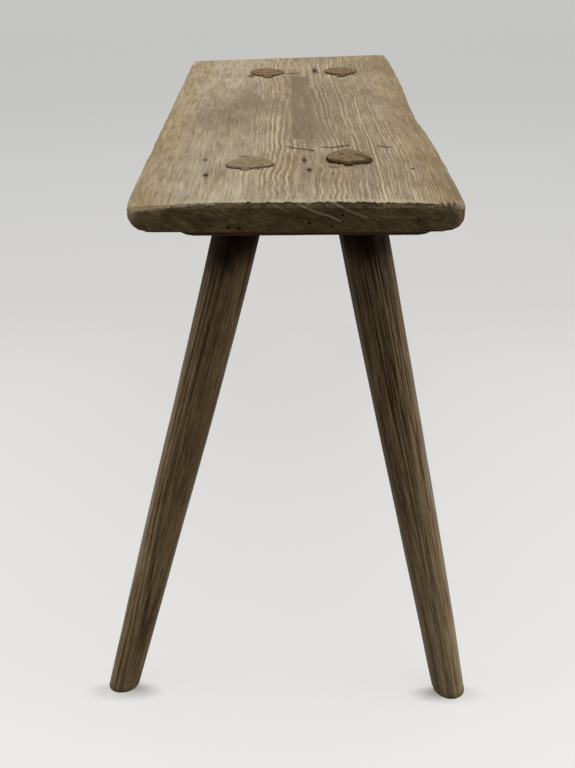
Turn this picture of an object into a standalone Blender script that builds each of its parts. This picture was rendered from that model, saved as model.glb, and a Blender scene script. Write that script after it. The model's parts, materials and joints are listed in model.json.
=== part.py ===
"""Country bench: a plank seat nailed to two cross battens, on four splayed legs with wedged tenons.

Metres. The seat's length runs along Y with the near end at -Y, its width along X, and +Z is up.
The origin is on the floor, midway between the feet both ways.
"""
import math
from typing import NamedTuple

import bmesh
import bpy
from mathutils import Matrix, Vector

# Seat plank
SEAT_LENGTH = 0.754
SEAT_FAR_SHIFT = 0.011
SEAT_WIDTH = 0.297
SEAT_THICKNESS = 0.027
SEAT_HEIGHT = 0.500
SEAT_NEAR_RADIUS = 0.011
SEAT_FAR_LEFT_RADIUS = 0.016
SEAT_FAR_RIGHT_RADIUS = 0.014
SEAT_TOP_ARRIS = 0.0065
SEAT_LOWER_ARRIS = 0.003
FAR_END_SETBACK = 0.052
EDGE_HOLLOW_DEPTH = 0.0045
EDGE_HOLLOW_HALF_SPAN = 0.200
WANE_WIDTH = 0.026
WANE_HEIGHT = 0.0185
RIGHT_ROUND_WIDTH = 0.030
RIGHT_ROUND_HEIGHT = 0.0135

# Cross battens, placed from the seat's ends, each shifted a little to the right
BATTEN_LENGTH = 0.256
BATTEN_WIDTH = 0.112
BATTEN_THICKNESS = 0.0262
BATTEN_END_ROUND = 0.021
BATTEN_ARRIS = 0.0018
NEAR_BATTEN_INSET = 0.066
FAR_BATTEN_INSET = 0.072
BATTEN_SHIFT_SHARES = {"near": 0.0333, "far": 0.047}

# Legs and their tenons
LEG_TOP_DIAMETER = 0.048
LEG_FOOT_DIAMETER = 0.0315
LEG_TAPER_POWER = 1.7
LEG_ARRIS = 0.0035
SOLE_CHAMFER = 0.0045
TENON_TOP_DIAMETER = 0.0435
TENON_ROOT_DIAMETER = 0.0447
TENON_ROOT_DEPTH = 0.030
FLUSH_DEPTH = 0.0004

# Wedges
WEDGE_DEPTH = 0.042
WEDGE_TOP_THICKNESS = 0.009
WEDGE_TIP_THICKNESS = 0.0022
WEDGE_TOP_WIDTH = 0.0476
WEDGE_TIP_WIDTH = 0.032
WEDGE_NEAR_SHIFT = 0.0062

# Nails
NAIL_HEAD_DIAMETER = 0.0038
NAIL_HEAD_THICKNESS = 0.0012
NAIL_SHANK_DIAMETER = 0.0026
NAIL_TIP_DIAMETER = 0.0010
NAIL_SUNK_DEPTH = 0.0014
NAIL_BITE_SHARE = 0.62

# Fits and cuts
CLEARANCE = 0.0003
CUT_OVERRUN = 0.020
MERGE_DISTANCE = 0.00002

LEG_FACETS = 10
LEG_STATIONS = 10
ROUND_STEPS = 40
NAIL_STEPS = 14
CORNER_STEPS = 5
HOLLOW_STEPS = 14
FLAT_COSINE = 0.999
LEG_SHARP_ANGLE = 30.0
NAIL_SHARP_ANGLE = 40.0


class Leg(NamedTuple):
    """A leg: its tenon's place on the seat in shares of half the batten, and its lean in degrees.

    The splay is across the seat and the rake along it. The stout share thickens the shaved leg, and the
    oval share draws the whole leg out along the seat. The belly share flattens the near side of the tenon's
    end and rounds its far side. The wedge is turned about the tenon's middle.
    """

    end: str
    side: str
    place_shares: tuple
    splay: float
    rake: float
    stout_share: float
    oval_share: float
    belly_share: float
    wedge_turn: float

    @property
    def name(self):
        return self.end + "_" + self.side


LEGS = (
    Leg("near", "left", (-0.417, 0.20), 15.2, 21.1, 1.02, 0.86, 0.34, -10.0),
    Leg("near", "right", (0.349, 0.59), 11.85, 23.79, 1.085, 1.03, 0.36, -4.0),
    Leg("far", "left", (-0.379, -0.34), 13.9, 20.8, 1.0, 1.18, 0.0, 3.0),
    Leg("far", "right", (0.433, -0.23), 12.3, 19.9, 1.0, 1.16, 0.0, 0.0),
)

# Nail places in shares of half the batten
NAIL_PLACE_SHARES = {
    "near_1": (-0.764, 0.36),
    "near_2": (-0.732, -0.60),
    "near_3": (-0.002, 0.35),
    "near_4": (0.030, -0.28),
    "near_5": (0.804, -0.25),
    "far_1": (-0.785, 0.08),
    "far_2": (0.150, -0.17),
}

SEAT_NEAR_END = SEAT_FAR_SHIFT - SEAT_LENGTH / 2
SEAT_FAR_END = SEAT_FAR_SHIFT + SEAT_LENGTH / 2
SEAT_UNDERSIDE = SEAT_HEIGHT - SEAT_THICKNESS
BATTEN_TOP = SEAT_UNDERSIDE - CLEARANCE
BATTEN_UNDERSIDE = BATTEN_TOP - BATTEN_THICKNESS


def clear_scene():
    for item in list(bpy.data.objects):
        bpy.data.objects.remove(item, do_unlink=True)


def collection(name):
    group = bpy.data.collections.new(name)
    bpy.context.scene.collection.children.link(group)
    return group


def material(name, colour, roughness, metallic):
    finish = bpy.data.materials.new(name)
    finish.use_nodes = True
    shader = finish.node_tree.nodes["Principled BSDF"]
    shader.inputs["Base Color"].default_value = (*colour, 1.0)
    shader.inputs["Roughness"].default_value = roughness
    shader.inputs["Metallic"].default_value = metallic
    return finish


def place(name, mesh, group, matrix):
    item = bpy.data.objects.new(name, mesh)
    location, rotation, _ = matrix.decompose()
    item.location = location
    item.rotation_mode = "QUATERNION"
    item.rotation_quaternion = rotation
    group.objects.link(item)
    return item


def place_cutter(name, mesh, group, matrix):
    item = place(name, mesh, group, matrix)
    item.hide_render = True
    item.display_type = "WIRE"
    return item


def mesh_from(name, shape):
    bmesh.ops.recalc_face_normals(shape, faces=shape.faces[:])
    mesh = bpy.data.meshes.new(name)
    shape.to_mesh(mesh)
    shape.free()
    return mesh


def evaluated_mesh(name, item):
    """The item's mesh with its modifiers or curve bevels built, in the item's own axes."""
    bpy.context.view_layer.update()
    graph = bpy.context.evaluated_depsgraph_get()
    mesh = bpy.data.meshes.new_from_object(item.evaluated_get(graph), depsgraph=graph)
    mesh.name = name
    return mesh


def joined(mesh):
    shape = bmesh.new()
    shape.from_mesh(mesh)
    bmesh.ops.remove_doubles(shape, verts=shape.verts[:], dist=MERGE_DISTANCE)
    return shape


def cut(item, cutter, operation="DIFFERENCE"):
    step = item.modifiers.new(cutter.name, "BOOLEAN")
    step.operation = operation
    step.solver = "EXACT"
    step.object = cutter


def finish_smooth(item, sharp_angle):
    mesh = item.data
    mesh.shade_smooth()
    mesh.set_sharp_from_angle(angle=math.radians(sharp_angle))


def block(name, size):
    shape = bmesh.new()
    bmesh.ops.create_cube(shape, size=1.0)
    bmesh.ops.scale(shape, vec=Vector(size), verts=shape.verts[:])
    return mesh_from(name, shape)


def turned(name, profile, steps, group, oval_share=1.0):
    """A solid of revolution about Z from (radius, height) points that run down the outer side."""
    outline = bmesh.new()
    points = [outline.verts.new((radius, 0.0, height)) for radius, height in profile]
    for first, second in zip(points, points[1:]):
        outline.edges.new((first, second))
    mesh = bpy.data.meshes.new(name)
    outline.to_mesh(mesh)
    outline.free()
    item = bpy.data.objects.new(name, mesh)
    group.objects.link(item)
    lathe = item.modifiers.new("lathe", "SCREW")
    lathe.axis = "Z"
    lathe.steps = steps
    lathe.render_steps = steps
    lathe.use_merge_vertices = True
    lathe.merge_threshold = MERGE_DISTANCE
    shape = joined(evaluated_mesh(name, item))
    bpy.data.objects.remove(item, do_unlink=True)
    bmesh.ops.scale(shape, vec=Vector((1.0, oval_share, 1.0)), verts=shape.verts[:])
    return mesh_from(name, shape)


def extruded(name, outline, thickness, group):
    """A flat outline in X and Y, extruded half the thickness to both sides of Z = 0."""
    curve = bpy.data.curves.new(name, "CURVE")
    curve.dimensions = "2D"
    curve.fill_mode = "BOTH"
    curve.extrude = thickness / 2
    spline = curve.splines.new("POLY")
    spline.points.add(len(outline) - 1)
    for point, (x, y) in zip(spline.points, outline):
        point.co = (x, y, 0.0, 1.0)
    spline.use_cyclic_u = True
    item = bpy.data.objects.new(name, curve)
    group.objects.link(item)
    shape = joined(evaluated_mesh(name, item))
    bpy.data.objects.remove(item, do_unlink=True)
    bpy.data.curves.remove(curve)
    flat = [face for face in shape.faces if abs(face.normal.z) > FLAT_COSINE]
    inner = [edge for edge in shape.edges if all(face in flat for face in edge.link_faces)]
    bmesh.ops.dissolve_edges(shape, edges=inner, use_verts=False)
    return mesh_from(name, shape)


def rounded_corner(before, corner, after, radius):
    """Points of an arc that rounds the corner between two straight edges."""
    corner = Vector(corner)
    back = (Vector(before) - corner).normalized()
    ahead = (Vector(after) - corner).normalized()
    half_angle = back.angle(ahead) / 2
    reach = radius / math.tan(half_angle)
    centre = corner + (back + ahead).normalized() * radius / math.sin(half_angle)
    start = corner + back * reach - centre
    end = corner + ahead * reach - centre
    points = []
    for step in range(CORNER_STEPS + 1):
        share = step / CORNER_STEPS
        points.append(centre + start.slerp(end, share) * radius)
    return points


def rims(shape, height):
    """Edges of the flat rim that lies at the given height."""
    close = MERGE_DISTANCE
    return [
        edge
        for edge in shape.edges
        if all(abs(vert.co.z - height) < close for vert in edge.verts)
        and any(abs(face.normal.z) < FLAT_COSINE for face in edge.link_faces)
    ]


def bevel(shape, edges, width, segments):
    bmesh.ops.bevel(
        shape, geom=edges, offset=width, offset_type="OFFSET", affect="EDGES",
        segments=segments, profile=0.5, material=-1, clamp_overlap=True,
    )


# Seat plank
def seat_outline():
    half_width = SEAT_WIDTH / 2
    near_left = Vector((-half_width, SEAT_NEAR_END))
    near_right = Vector((half_width, SEAT_NEAR_END))
    far_right = Vector((half_width, SEAT_FAR_END))
    far_left = Vector((-half_width, SEAT_FAR_END - FAR_END_SETBACK))
    points = rounded_corner(far_left, near_left, near_right, SEAT_NEAR_RADIUS)
    points += rounded_corner(near_left, near_right, far_right, SEAT_NEAR_RADIUS)
    for step in range(HOLLOW_STEPS + 1):
        share = 2 * step / HOLLOW_STEPS - 1
        depth = EDGE_HOLLOW_DEPTH * (1 + math.cos(math.pi * share)) / 2
        points.append(Vector((half_width - depth, EDGE_HOLLOW_HALF_SPAN * share)))
    points += rounded_corner(near_right, far_right, far_left, SEAT_FAR_RIGHT_RADIUS)
    points += rounded_corner(far_right, far_left, near_left, SEAT_FAR_LEFT_RADIUS)
    return points


def edge_waste(name, width, height, side, group):
    """The waste that is rounded off a lower long edge, as a prism along Y."""
    corner = Vector((side * SEAT_WIDTH / 2, -SEAT_THICKNESS / 2))
    inner = corner + Vector((-side * width, height))
    beyond = side * CUT_OVERRUN
    outline = [corner + Vector((beyond, -CUT_OVERRUN)), corner + Vector((beyond, height))]
    for step in range(CORNER_STEPS + 1):
        angle = math.pi / 2 * step / CORNER_STEPS
        outline.append(inner + Vector((side * width * math.cos(angle), -height * math.sin(angle))))
    outline.append(corner + Vector((-side * width, -CUT_OVERRUN)))
    return extruded(name, outline, SEAT_LENGTH + CUT_OVERRUN, group)


def seat_plank(finish, pieces, cutters):
    mesh = extruded("seat_plank", seat_outline(), SEAT_THICKNESS, cutters)
    shape = bmesh.new()
    shape.from_mesh(mesh)
    bevel(shape, rims(shape, SEAT_THICKNESS / 2), SEAT_TOP_ARRIS, 4)
    bevel(shape, rims(shape, -SEAT_THICKNESS / 2), SEAT_LOWER_ARRIS, 2)
    middle = SEAT_HEIGHT - SEAT_THICKNESS / 2
    seat = place("seat_plank", mesh_from("seat_plank", shape), pieces, Matrix.Translation((0.0, 0.0, middle)))
    seat.data.materials.append(finish)
    along = Matrix.Translation((0.0, SEAT_FAR_SHIFT, middle)) @ Matrix.Rotation(math.pi / 2, 4, "X")
    for name, width, height, side in (
        ("wane_waste", WANE_WIDTH, WANE_HEIGHT, -1),
        ("right_round_waste", RIGHT_ROUND_WIDTH, RIGHT_ROUND_HEIGHT, 1),
    ):
        cut(seat, place_cutter(name, edge_waste(name, width, height, side, cutters), cutters, along))
    return seat


# Cross battens
def batten_outline():
    half_length = BATTEN_LENGTH / 2
    half_thickness = BATTEN_THICKNESS / 2
    points = []
    for side in (-1, 1):
        centre = Vector((side * (half_length - BATTEN_END_ROUND), BATTEN_END_ROUND - half_thickness))
        arc = []
        for step in range(CORNER_STEPS + 1):
            angle = math.pi / 2 * step / CORNER_STEPS
            reach = Vector((side * math.sin(angle), -math.cos(angle)))
            arc.append(centre + reach * BATTEN_END_ROUND)
        arc.append(Vector((side * half_length, half_thickness)))
        points += arc if side > 0 else reversed(arc)
    return points


def batten_centre(end):
    x = SEAT_WIDTH * BATTEN_SHIFT_SHARES[end]
    if end == "near":
        y = SEAT_NEAR_END + NEAR_BATTEN_INSET + BATTEN_WIDTH / 2
    else:
        y = SEAT_FAR_END - FAR_BATTEN_INSET - BATTEN_WIDTH / 2
    return Vector((x, y))


def on_batten(end, place_shares):
    """A place above or in a batten, from shares of half its length and half its width."""
    across, along = place_shares
    return batten_centre(end) + Vector((across * BATTEN_LENGTH, along * BATTEN_WIDTH)) / 2


def batten(end, finish, pieces, cutters):
    name = "batten_" + end
    mesh = extruded(name, batten_outline(), BATTEN_WIDTH, cutters)
    shape = bmesh.new()
    shape.from_mesh(mesh)
    for side in (-1, 1):
        bevel(shape, rims(shape, side * BATTEN_WIDTH / 2), BATTEN_ARRIS, 1)
    centre = batten_centre(end).to_3d()
    centre.z = (BATTEN_TOP + BATTEN_UNDERSIDE) / 2
    across = Matrix.Translation(centre) @ Matrix.Rotation(math.pi / 2, 4, "X")
    board = place(name, mesh_from(name, shape), pieces, across)
    board.data.materials.append(finish)
    return board


# Legs
def leg_axis(leg):
    """Where the leg's own axes stand: origin at the tenon's top centre, Z up the leg, Y along the seat."""
    top = on_batten(leg.end, leg.place_shares).to_3d()
    top.z = SEAT_HEIGHT
    lean_x = math.tan(math.radians(leg.splay)) * (-1 if leg.side == "left" else 1)
    lean_y = math.tan(math.radians(leg.rake)) * (-1 if leg.end == "near" else 1)
    foot = top + Vector((lean_x, lean_y, -1.0)) * SEAT_HEIGHT
    up = (top - foot).normalized()
    along = (Vector((0.0, 1.0, 0.0)) - up * up.y).normalized()
    across = along.cross(up)
    matrix = Matrix((across, along, up)).transposed().to_4x4()
    matrix.translation = top
    return matrix, (top - foot).length


def leg_body(name, leg, length, group):
    """The shaved leg: long flats with soft arrises on a bellied taper, from above its shoulder down."""
    top_radius = LEG_TOP_DIAMETER * leg.stout_share / 2
    foot_radius = LEG_FOOT_DIAMETER * leg.stout_share / 2
    profile = [(0.0, 0.0)]
    for step in range(LEG_STATIONS + 1):
        share = step / LEG_STATIONS
        radius = top_radius - (top_radius - foot_radius) * share ** LEG_TAPER_POWER
        profile.append((radius, -length * share))
    profile.append((foot_radius, -length - CUT_OVERRUN))
    profile.append((0.0, -length - CUT_OVERRUN))
    mesh = turned(name, profile, LEG_FACETS, group, leg.oval_share)
    shape = bmesh.new()
    shape.from_mesh(mesh)
    sharp = math.radians(180.0 / LEG_FACETS)
    long_edges = [
        edge
        for edge in shape.edges
        if edge.calc_face_angle() > sharp and all(vert.co.xy.length > foot_radius / 2 for vert in edge.verts)
        and abs(edge.verts[0].co.z - edge.verts[1].co.z) > MERGE_DISTANCE
    ]
    bevel(shape, long_edges, LEG_ARRIS, 2)
    return mesh_from(name, shape)


def tenon(name, leg, extra, group):
    """The tapered tenon, grown all round by the extra, past the seat's top and the batten.

    It is oval at its root, and its near side grows flatter towards its end.
    """
    depth = SEAT_THICKNESS + BATTEN_THICKNESS + TENON_ROOT_DEPTH
    spread = (TENON_ROOT_DIAMETER - TENON_TOP_DIAMETER) / 2 / depth
    profile = [(0.0, CUT_OVERRUN)]
    for height in (CUT_OVERRUN, -depth):
        profile.append((TENON_TOP_DIAMETER / 2 - height * spread + extra, height))
    profile.append((0.0, -depth))
    shape = bmesh.new()
    shape.from_mesh(turned(name, profile, ROUND_STEPS, group, leg.oval_share))
    for vert in shape.verts:
        radius = TENON_TOP_DIAMETER / 2 - vert.co.z * spread + extra
        vert.co.y -= leg.belly_share * (1.0 + vert.co.z / depth) * vert.co.x ** 2 / radius
    walls = [face for face in shape.faces if len(face.verts) == 4]
    bmesh.ops.triangulate(shape, faces=walls, quad_method="FIXED")
    return mesh_from(name, shape)


def leg_solid(leg, finish, pieces, cutters):
    name = "leg_" + leg.name
    matrix, length = leg_axis(leg)
    blank = place(name + "_blank", leg_body(name, leg, length, cutters), cutters, matrix)
    wide = SEAT_LENGTH + SEAT_WIDTH + SEAT_HEIGHT
    above = block(name + "_above", (wide, wide, SEAT_HEIGHT))
    shoulder = BATTEN_UNDERSIDE - CLEARANCE + SEAT_HEIGHT / 2
    cut(blank, place_cutter(name + "_shoulder", above, cutters, Matrix.Translation((0.0, 0.0, shoulder))))
    root = place_cutter(name + "_tenon", tenon(name + "_tenon", leg, 0.0, cutters), cutters, matrix)
    cut(blank, root, "UNION")
    top = SEAT_HEIGHT - FLUSH_DEPTH + SEAT_HEIGHT / 2
    cut(blank, place_cutter(name + "_top", above, cutters, Matrix.Translation((0.0, 0.0, top))))
    floor = -SEAT_HEIGHT / 2
    cut(blank, place_cutter(name + "_floor", above, cutters, Matrix.Translation((0.0, 0.0, floor))))
    cut(blank, place_cutter(name + "_kerf", wedge_shape(name + "_kerf", leg, CLEARANCE), cutters, matrix))
    mesh = evaluated_mesh(name, blank)
    bpy.data.objects.remove(blank, do_unlink=True)
    shape = joined(mesh)
    sole = [
        edge
        for edge in shape.edges
        if all((matrix @ vert.co).z < MERGE_DISTANCE for vert in edge.verts)
        and len(edge.link_faces) == 2
        and edge.calc_face_angle() > math.radians(LEG_SHARP_ANGLE)
    ]
    bevel(shape, sole, SOLE_CHAMFER, 2)
    item = place(name, mesh_from(name, shape), pieces, matrix)
    item.data.materials.append(finish)
    return item


# Wedges
def wedge_shape(name, leg, extra):
    """A wedge with its broad side along the seat, thinner and narrower downwards, grown by the extra.

    It stands nearer to the near end, where it bites past the tenon into the seat.
    """
    shape = bmesh.new()
    bmesh.ops.create_cube(shape, size=1.0)
    depth = WEDGE_DEPTH + extra
    top = Vector((WEDGE_TOP_THICKNESS, WEDGE_TOP_WIDTH * leg.oval_share, 0.0))
    tip = Vector((WEDGE_TIP_THICKNESS, WEDGE_TIP_WIDTH * leg.oval_share, 0.0))
    rise = (top - tip) / WEDGE_DEPTH
    grown = Vector((2 * extra, 2 * extra, 0.0))
    over = top + rise * CUT_OVERRUN + grown
    under = tip - rise * extra + grown
    height = depth + CUT_OVERRUN
    bmesh.ops.scale(shape, vec=Vector((over.x, over.y, height)), verts=shape.verts[:])
    lower = [vert for vert in shape.verts if vert.co.z < 0.0]
    bmesh.ops.scale(shape, vec=Vector((under.x / over.x, under.y / over.y, 1.0)), verts=lower)
    bmesh.ops.translate(shape, vec=Vector((0.0, -WEDGE_NEAR_SHIFT, height / 2 - depth)), verts=shape.verts[:])
    turn = Matrix.Rotation(math.radians(leg.wedge_turn), 3, "Z")
    bmesh.ops.rotate(shape, cent=Vector(), matrix=turn, verts=shape.verts[:])
    return mesh_from(name, shape)


def wedge(leg, finish, pieces, cutters):
    name = "wedge_" + leg.name
    matrix, _ = leg_axis(leg)
    item = place(name, wedge_shape(name, leg, 0.0), pieces, matrix)
    item.data.materials.append(finish)
    above = block(name + "_above", (SEAT_WIDTH, SEAT_WIDTH, SEAT_HEIGHT))
    centre = matrix.translation.copy()
    centre.z = SEAT_HEIGHT - FLUSH_DEPTH + SEAT_HEIGHT / 2
    cut(item, place_cutter(name + "_top", above, cutters, Matrix.Translation(centre)))
    return item


# Nails
def nail_profile(extra, length):
    head = NAIL_HEAD_DIAMETER / 2 + extra
    shank = NAIL_SHANK_DIAMETER / 2 + extra
    tip = NAIL_TIP_DIAMETER / 2 + extra
    under_head = -NAIL_HEAD_THICKNESS - extra
    return [(0.0, 0.0), (head, 0.0), (head, under_head), (shank, under_head), (tip, -length - extra),
            (0.0, -length - extra)]


def nail_hole_profile(length):
    profile = nail_profile(CLEARANCE, length)
    profile[0] = (0.0, CUT_OVERRUN)
    profile[1] = (profile[1][0], CUT_OVERRUN)
    return profile


def nail_length():
    return SEAT_THICKNESS + BATTEN_THICKNESS * NAIL_BITE_SHARE - NAIL_SUNK_DEPTH


def nail_place(name):
    spot = on_batten(name.split("_")[0], NAIL_PLACE_SHARES[name]).to_3d()
    spot.z = SEAT_HEIGHT - NAIL_SUNK_DEPTH
    return Matrix.Translation(spot)


def nail(name, finish, pieces, cutters):
    node = "nail_" + name
    mesh = turned(node, nail_profile(0.0, nail_length()), NAIL_STEPS, cutters)
    item = place(node, mesh, pieces, nail_place(name))
    item.data.materials.append(finish)
    finish_smooth(item, NAIL_SHARP_ANGLE)
    return item


def mortises(items, cutters):
    """Cuts each leg's tenon and wedge out of the boards that they pass through."""
    for leg in LEGS:
        matrix, _ = leg_axis(leg)
        rooms = {
            "mortise_" + leg.name: tenon("mortise", leg, CLEARANCE, cutters),
            "wedge_room_" + leg.name: wedge_shape("wedge_room", leg, CLEARANCE),
        }
        for name, mesh in rooms.items():
            room = place_cutter(name, mesh, cutters, matrix)
            cut(items["seat_plank"], room)
            cut(items["batten_" + leg.end], room)


def nail_holes(items, cutters):
    for name in NAIL_PLACE_SHARES:
        mesh = turned("nail_hole", nail_hole_profile(nail_length()), NAIL_STEPS, cutters)
        hole = place_cutter("hole_" + name, mesh, cutters, nail_place(name))
        cut(items["seat_plank"], hole)
        cut(items["batten_" + name.split("_")[0]], hole)


def build():
    clear_scene()
    pieces = collection("country_bench")
    cutters = collection("cutters")
    seat_wood = material("seat_wood", (0.36, 0.29, 0.19), 0.78, 0.0)
    batten_wood = material("batten_wood", (0.08, 0.06, 0.04), 0.80, 0.0)
    leg_wood = material("leg_wood", (0.10, 0.07, 0.045), 0.68, 0.0)
    wedge_wood = material("wedge_wood", (0.22, 0.15, 0.09), 0.75, 0.0)
    iron = material("nail_iron", (0.05, 0.04, 0.035), 0.70, 0.8)
    items = {"seat_plank": seat_plank(seat_wood, pieces, cutters)}
    for end in BATTEN_SHIFT_SHARES:
        items["batten_" + end] = batten(end, batten_wood, pieces, cutters)
    mortises(items, cutters)
    nail_holes(items, cutters)
    for leg in LEGS:
        finish_smooth(leg_solid(leg, leg_wood, pieces, cutters), LEG_SHARP_ANGLE)
        wedge(leg, wedge_wood, pieces, cutters)
    for name in NAIL_PLACE_SHARES:
        nail(name, iron, pieces, cutters)


build()
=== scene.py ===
"""Looks of the country bench: worn wood, wedged tenons and sunk nails on a pale studio floor.

Lengths are in metres. The seat's length runs along Y with the near end at -Y, its width along X, and Z is up.
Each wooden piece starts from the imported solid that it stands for. It is sliced finer, and its points are then
worn inwards along the grain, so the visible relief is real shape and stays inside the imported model.
"""
from __future__ import annotations

import json
import logging
import math
from dataclasses import dataclass
from enum import Enum
from typing import Callable, Iterable, Sequence

import bmesh
import bpy
from mathutils import Matrix, Vector, noise
from mathutils.bvhtree import BVHTree

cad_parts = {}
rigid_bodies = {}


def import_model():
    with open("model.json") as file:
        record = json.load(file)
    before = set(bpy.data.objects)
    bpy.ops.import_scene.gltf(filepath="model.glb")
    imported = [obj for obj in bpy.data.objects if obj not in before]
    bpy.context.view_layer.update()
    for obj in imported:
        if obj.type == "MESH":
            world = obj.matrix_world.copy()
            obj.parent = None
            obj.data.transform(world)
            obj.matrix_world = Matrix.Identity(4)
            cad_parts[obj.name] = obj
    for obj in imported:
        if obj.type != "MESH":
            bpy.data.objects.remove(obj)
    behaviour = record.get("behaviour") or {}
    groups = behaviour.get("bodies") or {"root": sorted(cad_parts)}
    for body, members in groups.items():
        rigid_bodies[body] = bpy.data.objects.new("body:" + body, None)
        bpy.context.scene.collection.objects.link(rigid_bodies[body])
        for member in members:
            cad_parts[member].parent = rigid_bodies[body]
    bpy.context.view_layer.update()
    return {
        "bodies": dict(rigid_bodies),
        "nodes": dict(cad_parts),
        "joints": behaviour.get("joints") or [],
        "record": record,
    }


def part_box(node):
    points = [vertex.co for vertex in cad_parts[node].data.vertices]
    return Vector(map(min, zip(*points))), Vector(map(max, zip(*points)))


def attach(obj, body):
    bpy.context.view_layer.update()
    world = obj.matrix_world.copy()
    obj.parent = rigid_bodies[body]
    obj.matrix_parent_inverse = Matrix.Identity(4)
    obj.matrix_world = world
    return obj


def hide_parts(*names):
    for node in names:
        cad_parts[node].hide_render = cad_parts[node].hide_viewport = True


LOG = logging.getLogger("country_bench")
MERGE_DISTANCE = 0.000004
CUT_DISTANCE = 0.0000005
FLOAT_NOISE = 0.00005
FLAT_ANGLE = 0.2
END_SKIN = 0.0003
SHOULDER_GAP = 0.0003
# Share of a normal along an axis past which a face of the seat counts as its top, or as an end or underside
TOP_FACING, END_FACING = 0.2, 0.3
ACROSS, ALONG, UP = Vector((1, 0, 0)), Vector((0, 1, 0)), Vector((0, 0, 1))

Colour = tuple[float, float, float]
Triple = tuple[float, float, float]
Stops = Sequence[tuple[float, Colour]]
Line = Sequence[tuple[float, float]]
Span = tuple[float, float, float, float]
Piece = bpy.types.Object
Finish = bpy.types.Material
Shape = bmesh.types.BMesh
Face = bmesh.types.BMFace
FaceTest = Callable[[Face], bool]
Rule = Callable[[Vector, Vector], float]
Socket = bpy.types.NodeSocket
Value = Socket | float | Colour

# Where the hard late wood of a year ring rises, is full, falls and ends, in shares of the ring
LATE_WOOD: Span = (0.36, 0.70, 0.84, 1.0)


class Mark(str, Enum):
    """Names of the point attributes that carry wear, grain, dirt, painted shade and painted sheen from the
    meshes to the finishes.
    """

    RING = "ring"
    LINE = "line"
    END = "end_grain"
    PALE = "pale"
    # Bleach on the seat's top, and painted sheen along the legs' left and right edges
    BLEACH_AND_SHEEN = "bleach"
    GRIME = "grime"
    STAIN = "stain"
    HONEY = "honey"
    # Dirt, with painted shade in recesses, under the seat and between parts, and a painted shadow under the
    # near lip
    DIRT_AND_SHADE = "dirt_and_shade"
    SCRATCH = "scratch"
    HEIGHT = "height_share"
    WOOD = "wood_place"


# Small sums, patches and layers
def smoothstep(low: float, high: float, value: float) -> float:
    """Ease from 0 at low to 1 at high.

    Args:
        low: Where the ease starts.
        high: Where it ends.
        value: The place to read.

    Returns:
        The eased share, from 0 to 1.
    """
    share = min(max((value - low) / (high - low), 0.0), 1.0)
    return share * share * (3.0 - 2.0 * share)


def lobe(distance: float, reach: float) -> float:
    """Smooth bump that is 1 at no distance and fades out with the reach.

    Args:
        distance: Distance from the bump's middle.
        reach: Distance at which about a third is left.

    Returns:
        The bump's height.
    """
    return math.exp(-((distance / reach) ** 2))


def plateau(value: float, span: Span) -> float:
    """Ease up to 1 and down again.

    Args:
        value: The place to read.
        span: Where it rises, is full, falls and ends.

    Returns:
        The eased share, from 0 to 1.
    """
    rise, full, fall, end = span
    return smoothstep(rise, full, value) * (1.0 - smoothstep(fall, end, value))


def rough(x: float, y: float, z: float, octaves: int = 3) -> float:
    """Fractal noise, repeatable, mostly between -1 and 1.

    Args:
        x: First place, already scaled.
        y: Second place, already scaled.
        z: Third place, already scaled.
        octaves: How many finer layers are summed.

    Returns:
        The noise value.
    """
    return noise.fractal(Vector((x, y, z)), 0.9, 2.1, octaves)


def near_polyline(x: float, y: float, points: Line) -> float:
    """Distance from a place to a line through points.

    Args:
        x: Place along the first axis.
        y: Place along the second axis.
        points: The line's points.

    Returns:
        The shortest distance.
    """
    place = Vector((x, y))
    best = math.inf
    for first, second in zip(points, points[1:]):
        start = Vector(first)
        run = Vector(second) - start
        share = min(max((place - start).dot(run) / run.length_squared, 0.0), 1.0)
        best = min(best, (place - start - run * share).length)
    return best


@dataclass(frozen=True)
class Patch:
    """A soft oval patch on the seat's top: its middle, and how far it reaches each way."""

    x: float
    y: float
    reach_x: float
    reach_y: float

    def share(self, x: float, y: float) -> float:
        """How far a place is inside the patch, from 0 to 1."""
        return lobe(x - self.x, self.reach_x) * lobe(y - self.y, self.reach_y)


@dataclass(frozen=True)
class Layer:
    """A layer of noise in a finish: how fine and how rough it is, and how it is stretched on each axis."""

    scale: float
    detail: float
    roughness: float
    stretch: Triple = (1.0, 1.0, 1.0)


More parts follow.
